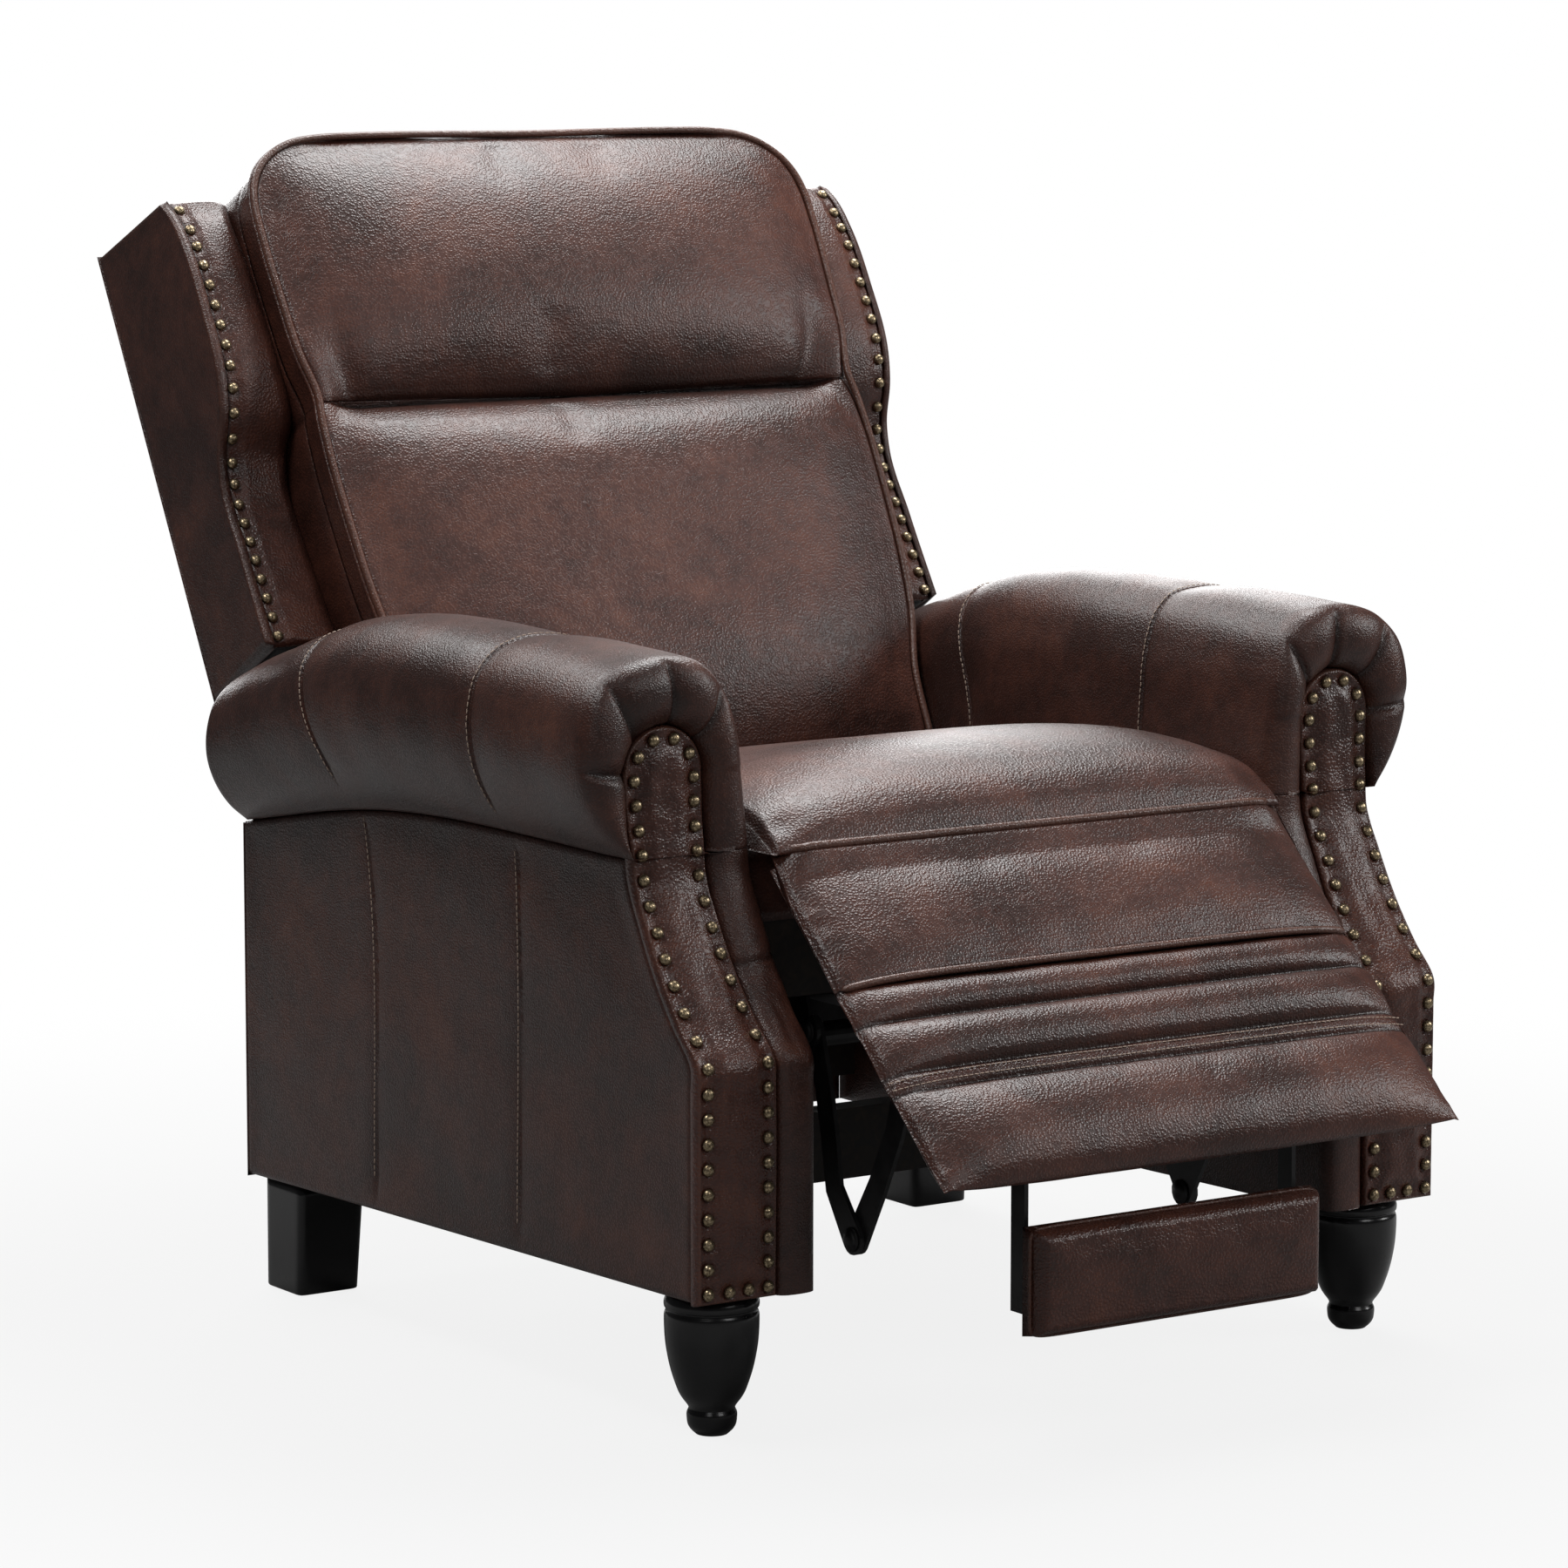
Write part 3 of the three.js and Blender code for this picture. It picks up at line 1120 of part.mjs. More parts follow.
const bowed = (from, to, shares) => shares.map(([along, out]) => [
  from[0] + (to[0] - from[0]) * along + (from[1] - to[1]) * out,
  from[1] + (to[1] - from[1]) * along + (to[0] - from[0]) * out]);
const elbow = [elbowY, elbowZ];
const driveRun = bowed([drivePivotY, drivePivotZ], elbow, driveBowShares);
const ottomanRun = bowed(
  elbow, [linkY - seatReach, linkZ + seatFoldHeight], ottomanBowShares);
function driveLink(side) {
  return build([
    plateAcross(
      linkOutline(driveRun), side * driveX, side * (driveX + plateThickness),
      [bore(drivePivotY, drivePivotZ)]),
    barAcross(
      pinRadius, side * ottomanX, side * (driveX + plateThickness / 2), elbowY, elbowZ)]);
}
function ottomanLink(side) {
  return plateAcross(
    linkOutline(ottomanRun), side * ottomanX, side * (ottomanX + plateThickness),
    [bore(elbowY, elbowZ), bore(...ottomanRun[ottomanRun.length - 1])]);
}
for (const [name, side] of sides) {
  addPiece(leg, `${name}_leg_bracket`, legBracket(side), blackSteel);
  addPiece(leg, `${name}_flipper_hinge`, flipperHinge(side), blackSteel);
  addPiece(flipper, `${name}_flipper_arm`, flipperArm(side), blackSteel);
  addPiece(chair, `${name}_drive_link`, driveLink(side), blackSteel);
  addPiece(chair, `${name}_ottoman_link`, ottomanLink(side), blackSteel);
}

// The origin lies on the floor under the middle of the whole chair.
chair.updateMatrixWorld(true);
const bounds = new THREE.Box3().setFromObject(chair, true);
chair.position.y = -(bounds.min.y + bounds.max.y) / 2;

export default chair;
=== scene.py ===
import json
import math

import bmesh
import bpy
import numpy as np
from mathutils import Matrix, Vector


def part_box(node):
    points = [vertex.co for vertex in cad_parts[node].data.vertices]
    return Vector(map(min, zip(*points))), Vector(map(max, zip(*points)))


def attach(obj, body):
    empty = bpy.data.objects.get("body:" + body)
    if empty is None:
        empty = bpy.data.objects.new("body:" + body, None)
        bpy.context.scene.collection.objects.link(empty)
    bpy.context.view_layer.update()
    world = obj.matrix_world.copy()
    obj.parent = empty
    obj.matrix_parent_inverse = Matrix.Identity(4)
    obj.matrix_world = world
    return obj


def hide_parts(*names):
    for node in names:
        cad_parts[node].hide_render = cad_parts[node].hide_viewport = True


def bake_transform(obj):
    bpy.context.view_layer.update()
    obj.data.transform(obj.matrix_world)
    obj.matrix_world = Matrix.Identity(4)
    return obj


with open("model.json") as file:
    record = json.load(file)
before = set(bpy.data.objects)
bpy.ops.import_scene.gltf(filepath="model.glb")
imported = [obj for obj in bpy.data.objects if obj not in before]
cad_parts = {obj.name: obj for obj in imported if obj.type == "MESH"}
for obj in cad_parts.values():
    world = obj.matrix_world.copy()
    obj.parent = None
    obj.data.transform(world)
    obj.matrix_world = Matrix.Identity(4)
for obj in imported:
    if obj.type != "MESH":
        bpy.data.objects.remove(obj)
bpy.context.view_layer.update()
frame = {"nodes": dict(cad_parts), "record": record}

# The view: a long lens from the chair's front left, a little above the arms. Sizes below are in
# millimetres, and the chair is measured from where its front feet stand.
foot_y = -377
foot_low, foot_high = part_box("left_front_foot")
origin_shift = (foot_low.y + foot_high.y) / 2 * 1000 - foot_y
eye = Vector((-2.8615, -4.1939 + origin_shift / 1000, 1.1603))
aim = Vector((-0.006, origin_shift / 1000, 0.459))
lens = bpy.data.cameras.new("camera")
lens.lens, lens.sensor_width, lens.sensor_fit = 133.76, 36.0, "AUTO"
lens.clip_end = 40
camera = bpy.data.objects.new("camera", lens)
camera.location = eye
camera.rotation_euler = (aim - eye).to_track_quat("-Z", "Y").to_euler()
bpy.context.scene.collection.objects.link(camera)
bpy.context.scene.camera = camera
bpy.context.scene.view_settings.view_transform = "Standard"

# Seven soft lamps: one overhead, one at the right front, weak ones in front and at the left, two
# high ones for the edges of the arms and the back, and a broad one behind.
for name, power, place, at, size in (
        ("lamp_over", 80, (0.9, 0.6, 2.9), (0.1, 0, 0.5), (1.4, 1.2)),
        ("lamp_right", 62, (3.1, -2.0, 2.0), (0, 0, 0.6), (1.1, 1.5)),
        ("lamp_front", 26, (0.5, -3.7, 2.5), (0, 0, 0.5), (1.5, 1.3)),
        ("lamp_left", 9, (-2.6, -2.6, 2.3), (0, 0, 0.5), (1.0, 1.4)),
        ("lamp_brow", 44, (-1.5, -0.2, 3.1), (-0.35, -0.1, 0.6), (0.9, 0.7)),
        ("lamp_crest", 46, (-0.7, 2.1, 2.8), (-0.1, 0, 0.6), (1.6, 0.9)),
        ("lamp_rear", 105, (1.5, 3.2, 1.4), (0, 0, 0.5), (3.0, 2.2))):
    light = bpy.data.lights.new(name, "AREA")
    light.shape, light.size, light.size_y, light.energy = "RECTANGLE", *size, power
    lamp = bpy.data.objects.new(name, light)
    lamp.location = place
    lamp.rotation_euler = (Vector(at) - Vector(place)).to_track_quat("-Z", "Y").to_euler()
    bpy.context.scene.collection.objects.link(lamp)

# The room: white where the camera looks past the chair, dim where the light bounces. The nodes
# of every material below are made in the same way as its own.


class Wire:
    """A shader socket. Arithmetic on it adds Math nodes to its tree."""

    def __init__(self, finish, socket):
        self.finish, self.socket = finish, socket

    def math(self, operation, first, second):
        return self.finish.node("Math", {"operation": operation}, {0: first, 1: second})

    def __add__(self, other):
        return self.math("ADD", self, other)

    def __mul__(self, other):
        return self.math("MULTIPLY", self, other)

    def __sub__(self, other):
        return self.math("SUBTRACT", self, other)

    def __rsub__(self, other):
        return self.math("SUBTRACT", other, self)

    def step(self, low, high):
        """0 below low, 1 above high, and a smooth rise between them."""
        return self.finish.node("MapRange", {"interpolation_type": "SMOOTHSTEP"},
                                {"Value": self, "From Min": low, "From Max": high})


class Finish:
    """A material or world under construction: node() adds a node and returns one output."""

    def __init__(self, owner):
        owner.use_nodes = True
        self.owner, self.tree = owner, owner.node_tree
        self.tree.nodes.clear()

    def node(self, kind, settings=None, sockets=None, out=0):
        node = self.tree.nodes.new("ShaderNode" + kind)
        for key, value in (settings or {}).items():
            if key == "stops":
                ramp = node.color_ramp
                while len(ramp.elements) < len(value):
                    ramp.elements.new(0.5)
                for element, (place, colour) in zip(ramp.elements, value):
                    element.position, element.color = place, (*colour, 1)
            else:
                setattr(node, key, value)
        for key, value in (sockets or {}).items():
            if isinstance(value, Wire):
                self.tree.links.new(value.socket, node.inputs[key])
            else:
                node.inputs[key].default_value = value
        return Wire(self, node.outputs[out]) if node.outputs else None

    def done(self, shader, output="OutputMaterial"):
        self.node(output, None, {"Surface": shader})
        return self.owner


def seen(f):
    """1 for a ray from the camera or through glass, a little for a reflection, 0 for the rest."""
    direct, through, mirrored = (f.node("LightPath", None, None, f"Is {kind} Ray")
                                 for kind in ("Camera", "Transmission", "Glossy"))
    return direct + through + mirrored * 0.03


sky = Finish(bpy.data.worlds.new("studio"))
room = sky.node("Background", None, {"Color": (0.042, 0.042, 0.044, 1)})
white = sky.node("Background", None, {"Color": (1, 1, 1, 1)})
bpy.context.scene.world = sky.done(
    sky.node("MixShader", None, {0: seen(sky), 1: room, 2: white}), "OutputWorld")

# The floor: a wide white sheet. What the camera sees of it is mostly its own white, so that
# only the chair's contact shadow is left on it.
sheet = Finish(bpy.data.materials.new("studio_floor"))
place = sheet.node("TexCoord", None, None, "Object")
away = sheet.node("VectorMath", {"operation": "LENGTH"}, {0: place}, "Value").step(0.6, 1.7)
paper = sheet.node("BsdfPrincipled", None, {"Base Color": (0.24, 0.24, 0.24, 1), "Roughness": 0.9})
glow = sheet.node("Emission", None, {"Color": (1, 1, 1, 1), "Strength": 1.0})
own_white = seen(sheet) * (away * 0.14 + 0.86)
floor_mesh = bpy.data.meshes.new("studio_floor")
floor_mesh.from_pydata([(-9, -9, 0), (9, -9, 0), (9, 9, 0), (-9, 9, 0)], [], [(0, 1, 2, 3)])
floor_mesh.materials.append(
    sheet.done(sheet.node("MixShader", None, {0: own_white, 1: paper, 2: glow})))
floor = bpy.data.objects.new("studio_floor", floor_mesh)
floor.location.z = -0.0005
bpy.context.scene.collection.objects.link(floor)

# Leather: drum-dyed brown hide with a pebbled grain. The grain's hollows are darker, and broad
# patches drift between near-black and red-brown, as on a two-tone hide.
# The first colour lightens worn edges; the second is painted shade for creases, seams and recesses.
rubbed, painted_shade = (0.135, 0.062, 0.041, 1), (0.010, 0.005, 0.004, 1)


def hide(name, pebble=430, depth=0.00035, patch=7.0, dark=(0.028, 0.0104, 0.0073),
         mid=(0.060, 0.0205, 0.0138), warm=(0.098, 0.033, 0.019), gloss=0.32):
    """Leather from three colours, the grain's pebbles per metre and its height in metres. The
    mesh's attribute lightens it above 0, where it is worn, and darkens it below 0 with painted
    shade."""
    f = Finish(bpy.data.materials.new(name))
    at = f.node("TexCoord", None, None, "Object")
    drift = f.node("TexNoise", None, {"Vector": at, "Scale": pebble * 0.3, "Detail": 1.0}, "Color")
    bent = f.node("VectorMath", {"operation": "MULTIPLY_ADD"},
                  {0: drift, 1: (0.0022,) * 3, 2: at})
    cells = f.node("TexVoronoi", {"feature": "F1"},
                   {"Vector": bent, "Scale": pebble, "Randomness": 0.9}, "Distance")
    dome = 1 - cells.step(0.15, 0.72)
    pores = f.node("TexNoise", None, {"Vector": at, "Scale": pebble * 2.4, "Detail": 2.0})
    broad = f.node("TexNoise", None, {"Vector": at, "Scale": patch, "Detail": 4.0,
                                      "Roughness": 0.6, "Distortion": 0.4})
    small = f.node("TexNoise", None, {"Vector": at, "Scale": patch * 9, "Detail": 3.0})
    rub = f.node("Attribute", {"attribute_name": "rub"}, None, "Fac")
    tone = broad * 0.72 + small * 0.28 + (dome - 0.6) * 0.10
    colour = f.node("ValToRGB", {"stops": [(0.36, dark), (0.52, mid), (0.68, warm)]}, {"Fac": tone})
    # Worn places take the lighter tint; creases and recesses take the dark tint as painted shade.
    for share, tint in ((rub.step(0.15, 1.0) * 0.7, rubbed),
                        ((0 - rub).step(0.1, 1.0) * 0.75, painted_shade)):
        colour = f.node("Mix", {"data_type": "RGBA"}, {0: share, 6: colour, 7: tint}, 2)
    rough = (broad - 0.5) * 0.16 + (0.6 - dome) * 0.12 + gloss
    bump = f.node("Bump", None, {"Strength": 0.75, "Distance": depth,
                                 "Height": dome + pores * 0.22})
    return f.done(f.node("BsdfPrincipled", None, {
        "Base Color": colour, "Roughness": rough, "Normal": bump, "Specular IOR Level": 0.42}))


seat_hide = hide("seat_hide", pebble=420, depth=0.00032)
# The arm copy has a finer grain and colours about a fifth darker than the seat copy: painted shade
# on the arms, the rear covers and the wing panels.
shaded_arm_hide = hide("shaded_arm_hide", pebble=520, depth=0.00027, patch=9.0, dark=(0.024, 0.0096, 0.0071),
                mid=(0.048, 0.0172, 0.0118), warm=(0.084, 0.0295, 0.0175), gloss=0.335)
front_hide = hide("front_hide", pebble=380, depth=0.0004, gloss=0.30)

# Arms: a padded box under a big roll. The roll is one hide with two sewn seams across it,
# gathered into four pleats round the scroll head at the front. Each seam pinches the stuffing.
both_sides = (("left", -1), ("right", 1))
knee_shares = np.array([[0, 0], [0.19, 0.275], [0.363, 0.497], [0.637, 0.772], [0.91, 0.984],
                        [1, 1]])
knee_z, waist_z, knee_reach, waist_reach = 309, 466, 430, 335.5
fall_z = knee_z + (waist_z - knee_z) * knee_shares[:, 0]
fall_reach = knee_reach + (waist_reach - knee_reach) * knee_shares[:, 1]
front_z = np.concatenate([[100, 290], fall_z, [500, 520, 580]])
front_y = -np.concatenate([[430, 430], fall_reach, [331, 330, 330]])
arm_x, box_x, roll_x, box_rear, box_low = 264.5, 380, 421, 309, 100


def bend(x, y, at):
    """A smooth curve through points: cubic runs whose slopes join each point's neighbours."""
    x, y, at = np.asarray(x, float), np.asarray(y, float), np.asarray(at, float)
    slope = np.gradient(y, x, axis=0)
    i = np.clip(np.searchsorted(x, at, side="right") - 1, 0, len(x) - 2)
    wide = x[i + 1] - x[i]
    t = np.clip((at - x[i]) / wide, 0, 1)
    if y.ndim > 1:
        wide, t = wide[..., None], t[..., None]
    return ((2 * t ** 3 - 3 * t ** 2 + 1) * y[i] + (t ** 3 - 2 * t ** 2 + t) * wide * slope[i]
            + (3 * t ** 2 - 2 * t ** 3) * y[i + 1] + (t ** 3 - t ** 2) * wide * slope[i + 1])


def arm_front(z):
    """The arm's front line, as places along it at a height."""
    return bend(front_z, front_y, z)


def box_bottom(y):
    """The height of the box's lower edge, which falls a little to the rear."""
    return box_low + 18 - 18 * (y + knee_reach) / 739


def box_seam(y):
    """The height at which the roll meets the box."""
    return bend([-335.5, 87.3, 309], [waist_z, 456, 420], y)


def seam_places(z):
    """The two sewn seams across the arm, as places along it at a height."""
    rear = bend([100, 450, 501, 560, 614], [75, 89, 103, 132, 154], z)
    front = bend([100, 450, 508, 618], [-158, -158, -153, -144], z)
    return rear, front


def bell(at, middle, width):
    """A bell curve: 1 at the middle, a third of that one width away, then soon nothing."""
    return np.exp(-((np.asarray(at, float) - middle) / width) ** 2)


def seam_dip(y, z, *bells):
    """How deep both seams pull the hide in: bells of a depth and a width across each seam."""
    return sum(depth * bell(y - seam, 0, width) for seam in seam_places(z)
               for depth, width in bells)


def walked(path):
    """How far it is along a path to each of its points."""
    return np.append(0, np.cumsum(np.linalg.norm(np.diff(path, axis=0), axis=-1)))


def xyz(x, y, z):
    """Points from their coordinates, each a number or an array that is spread over the others."""
    return np.stack(np.broadcast_arrays(x, y, z), -1).astype(float)


section = np.array([
    [0, 0], [0.02, 0.18], [0.05, 0.42], [0.09, 0.66], [0.17, 0.85], [0.3, 0.965], [0.47, 1],
    [0.65, 0.99], [0.81, 0.93], [0.93, 0.81], [0.99, 0.63], [0.995, 0.45], [0.945, 0.27],
    [0.85, 0.11], [0.738, 0.0]])
section_run = walked(section * (156, 150))
roll_curve = bend(section_run, section, np.linspace(0, section_run[-1], 130))
roll_section = np.vstack([roll_curve, xyz(np.linspace(0.73, 0.01, 14), 0, 0)[:, :2]])
roll_top_at = [0, 0.03, 0.14, 0.28, 0.46, 0.58, 0.64, 0.705, 0.77, 0.83, 0.9, 0.96, 1]
roll_top = [0.985, 0.99, 1, 1.005, 1.005, 0.99, 0.97, 0.925, 0.86, 0.78, 0.69, 0.6, 0.53]
head_x, head_z, head_r = 346, 532, 38
roll_start, roll_front, roll_height = -339, -319, 161


def rise(low, high, at):
    """0 at low, 1 at high, and a smooth rise between them."""
    t = np.clip((np.asarray(at, float) - low) / (high - low), 0, 1)
    return t * t * (3 - 2 * t)


def roll_ring(y):
    """The roll's section at a place along the arm, in X and Z."""
    low = box_seam(y)
    high = waist_z + roll_height * bend(
        roll_top_at, roll_top, (y - roll_start) / (box_rear - roll_start))
    x = arm_x + (roll_x - arm_x) * roll_section[:, 0]
    flare = 6 * bell(y, -320, 60) * rise(head_x, roll_x, x)
    return xyz(x + flare, y, low + (high - low) * roll_section[:, 1])


def crumple(a, b, seed, size):
    """Soft irregular waves over two coordinates: eight sine waves at random turns."""
    dice = np.random.default_rng(seed)
    total = 0
    for _ in range(8):
        turn, phase, pace = dice.uniform(0, 6.28), dice.uniform(0, 6.28), dice.uniform(0.6, 1.7)
        total = total + np.sin((a * math.cos(turn) + b * math.sin(turn)) * 6.28 * pace / size
                               + phase)
    return total / 8


def unit(vectors):
    """The same directions, each one long."""
    return vectors / (np.linalg.norm(vectors, axis=-1, keepdims=True) + 1e-9)


def steps(*row):
    """Numbers from stop to stop: between two stops stands how many equal steps lead there."""
    reached = np.concatenate([[0], np.cumsum(row[1::2])])
    return np.interp(np.arange(reached[-1] + 1), reached, row[::2])


def roll_surface():
    """The roll's rings from its gathered front to its rear end, and each point's painted shade."""
    body = np.stack([roll_ring(y) for y in steps(
        roll_front, 40, -180, 60, -120, 34, 60, 90, 180, 29, box_rear - 14)])
    x, y, z = np.moveaxis(body, -1, 0)
    sunk = seam_dip(y, z, (2.2, 2.2), (2.0, 20)) * rise(456, 500, z)
    full = 1.6 * bell(y, 5, 80) + 1.5 * bell(y, -235, 55)
    soft = 0.9 * crumple(y, x + z, 4, 120)
    lift = (full - sunk + soft) * rise(waist_z, 500, z) * rise(box_rear - 14, 240, y)
    out = unit(np.cross(np.gradient(body, axis=0), np.roll(body, -1, 1) - np.roll(body, 1, 1)))
    body = body + out * lift[..., None] * np.sign(out[60, 60, 2])
    body[..., 0] = np.maximum(body[..., 0], arm_x - 1)
    # The front: each point of the section runs forward and in to the scroll head's outline.
    rim = roll_ring(roll_front)
    x, z = rim[:, 0], rim[:, 2]
    from_head = rim[:, ::2] - (head_x, head_z)
    reach = np.linalg.norm(from_head, axis=-1)
    turn = np.degrees(np.arctan2(from_head[:, 1], from_head[:, 0]))
    upper = z >= head_z
    goal_x = np.where(upper, head_x + from_head[:, 0] / reach * head_r,
                      head_x + np.clip(x - head_x, -head_r, head_r - 2))
    goal_z = np.where(upper, head_z + from_head[:, 1] / reach * head_r, z)
    phi = np.linspace(0, math.pi, 44)[1:, None]
    inward = (1 - np.cos(phi)) / 2
    pleat, puff = 0, 0
    for middle, twist in ((2, 3), (50, 5), (94, -4), (134, -6)):
        arc = np.radians(turn - middle - twist * np.cos(phi)) * (
            reach * (1 - inward) + head_r * inward)
        pleat = pleat + bell(arc, 0, 2.6) * 4.2 + 1.6 * bell(arc, 4, 5)
        puff = puff + bell(arc, 0, 13)
    fade = rise(0.05, 0.35, phi / math.pi)
    bulge = 22 * np.sin(phi) ** 0.8 + (2.2 - 3.2 * puff) * np.sin(phi) * upper - pleat * fade
    spread = xyz(x + (goal_x - x) * inward, roll_front - bulge, z + (goal_z - z) * inward)
    shadow = np.concatenate([(-0.8 * np.clip(pleat, 0, 4) / 4 * fade)[::-1],
                             -0.25 * np.clip(sunk, 0, 4) / 4])
    return np.concatenate([spread[::-1], body]), shadow


def metres(points):
    """From millimetres at the chair's own zero to metres in the frame."""
    return (points + (0, origin_shift, 0)) / 1000


def ring_faces(rings, count):
    """The numbers of the four points of each face between rings of so many points."""
    i, j = np.meshgrid(np.arange(rings - 1), np.arange(count), indexing="ij")
    here, beside = i * count + j, i * count + (j + 1) % count
    return np.stack([here, beside, beside + count, here + count], -1).reshape(-1, 4)


def put(name, mesh, material, body, stands_for):
    """Hands over a mesh as a piece that moves with a body and takes the place of CAD nodes."""
    mesh.materials.append(material)
    piece = bpy.data.objects.new(name, mesh)
    bpy.context.scene.collection.objects.link(piece)
    if body:
        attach(piece, body)
    if stands_for:
        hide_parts(*stands_for)
    return piece


def skin(name, grid, body, material, side=1, rub=0.0, stands_for=()):
    """One closed piece from rings of points, an array of rings by points. Rings that meet at a
    point or a line are welded, and an end is closed with a fan of faces to its middle, unless
    its ring is folded shut."""
    rings, count = grid.shape[:2]
    points = grid.reshape(-1, 3)
    faces = ring_faces(rings, count).tolist()
    ring = np.arange(count)
    for end, turn in ((0, -1), (rings - 1, 1)):
        if not np.allclose(grid[end], grid[end, ::-1], atol=2e-3):
            fan = np.stack([ring, np.roll(ring, -1)], -1)[:, ::turn] + end * count
            faces += np.insert(fan, 0, len(points), 1).tolist()
            points = np.vstack([points, grid[end].mean(0)])
    mesh = bpy.data.meshes.new(name)
    mesh.from_pydata(metres(points * (side, 1, 1)).tolist(), [], faces)
    # Each point's wear and painted shade, as the leather reads them.
    wear_and_shade_values = np.zeros(len(points), np.float32)
    wear_and_shade_values[:rings * count] = np.broadcast_to(rub, (rings, count)).reshape(-1)
    mesh.attributes.new("rub", "FLOAT", "POINT").data.foreach_set("value", wear_and_shade_values)
    work = bmesh.new()
    work.from_mesh(mesh)
    bmesh.ops.remove_doubles(work, verts=work.verts, dist=2e-6)
    bmesh.ops.recalc_face_normals(work, faces=work.faces)
    work.to_mesh(mesh)
    work.free()
    mesh.polygons.foreach_set("use_smooth", np.full(len(mesh.polygons), True))
    return put(name, mesh, material, body, stands_for)


def even(path, pitch):
    """Points at an even pitch along a path, and the path's direction at each."""
    run = walked(path[:, :3])
    at = np.linspace(0, run[-1], max(int(run[-1] / pitch) + 1, 2))
    points = np.stack([np.interp(at, run, column) for column in path.T], -1)
    return points, unit(np.gradient(points[:, :3], axis=0))


def circle(count):
    """The cosines and sines of even turns round a circle."""
    turn = np.linspace(0, 2 * math.pi, count, endpoint=False)
    return np.cos(turn), np.sin(turn)


def lathe(profile, sides):
    """A shape turned about its third axis from [radius, height] rows, with one point at each
    pole: its points, its four-cornered faces and its three-cornered ones."""
    profile = np.array(profile, float)
    c, s = circle(sides)
    radius, height = profile[1:-1, :1], profile[1:-1, 1:]
    rings = xyz(radius * c, radius * s, height).reshape(-1, 3)
    points = np.vstack([(0, 0, profile[0, 1]), rings, (0, 0, profile[-1, 1])])
    ring, top = np.arange(sides), len(points) - 1
    beside = np.roll(ring, -1)
    fans = np.vstack([np.stack([0 * ring, 1 + beside, 1 + ring], -1),
                      np.stack([top - sides + ring, top - sides + beside, 0 * ring + top], -1)])
    return points, ring_faces(len(radius), sides) + 1, fans


def many(name, shape, places, axes, body, material, side=1, stands_for=()):
    """One piece of many like ones: a small shape set at each place along three axes."""
    corners, *blocks = shape
    points = places[:, None] + np.einsum("vk,nkc->nvc", corners, axes)
    start = np.arange(len(places))[:, None, None] * len(corners)
    turn = -1 if np.linalg.det(axes[0]) * side < 0 else 1
    faces = []
    for block in blocks:
        faces += (start + block[:, ::turn]).reshape(-1, block.shape[1]).tolist()
    mesh = bpy.data.meshes.new(name)
    mesh.from_pydata(metres(points.reshape(-1, 3) * (side, 1, 1)).tolist(), [], faces)
    mesh.polygons.foreach_set("use_smooth", np.full(len(faces), True))
    return put(name, mesh, material, body, stands_for)


thread = lathe([[0, -2.2], [0.35, -1.9], [0.5, -0.8], [0.5, 0.8], [0.35, 1.9], [0, 2.2]], 6)
pale_thread = Finish(bpy.data.materials.new("pale_thread"))
pale_thread = pale_thread.done(pale_thread.node("BsdfPrincipled", None, {
    "Base Color": (0.36, 0.27, 0.21, 1), "Roughness": 0.6}))


def stitched(name, path, out, body, side=1, pitch=5.6):
    """A row of single stitches laid along a path, each lying just above the surface."""
    points, along = even(np.concatenate([path, np.broadcast_to(out, path.shape)], -1), pitch)
    across = unit(np.cross(points[:, 3:], along))
    up = np.cross(along, across)
    many(name, thread, points[:, :3] + up * 0.2, np.stack([across, up, along], 1), body,
         pale_thread, side)


roll_grid, roll_shadow = roll_surface()
for name, side in both_sides:
    skin(f"{name}_roll_hide", roll_grid, "base", shaded_arm_hide, side, roll_shadow,
         stands_for=[f"{name}_arm_roll"])
    for which in (0, 1):
        curve = np.stack([roll_ring(y) for y in np.linspace(-200, 200, 401)])[:, 3:126]
        gap = curve[..., 1] - seam_places(curve[..., 2])[which]
        path = curve[np.abs(gap - 2.6).argmin(0), np.arange(curve.shape[1])]
        out = unit((path - (head_x, 0, 535)) * (1, 0, 1))
        stitched(f"{name}_roll_stitches_{which}", path - out * 1.4, out, "base", side)

# The arm's side: a flat hide over thin padding, sewn from three lengths with a row of stitches
# beside each seam. It is tacked under the roll and folded round the frame's edges.


def edge_distance(face):
    """For each point of a grid, the distance along the grid to the nearest of its four edges."""
    gaps = []
    for axis in (0, 1):
        walk = np.cumsum(np.linalg.norm(np.diff(face, axis=axis), axis=-1), axis=axis)
        walk = np.concatenate([0 * np.take(walk, [0], axis), walk], axis)
        gaps += [walk, np.take(walk, [-1], axis) - walk]
    return np.minimum.reduce(gaps)


def upholstered(face, out, thick, edge, lift=0):
    """A padded plate: the face grid stands off its flat back by its thickness, and its edges
    are quarter-round."""
    t = np.clip(1 - edge_distance(face) / edge, 0, 1)
    height = (thick + lift) * np.sqrt(1 - t * t)
    return np.concatenate([face + np.asarray(out) * height[..., None], face[:, ::-1]], 1)


side_p = steps(0, 16, 0.06, 169, 0.96, 1, 0.965, 7, 1)[:, None]
side_q = steps(0, 8, 0.05, 59, 0.95, 1, 0.955, 7, 1)
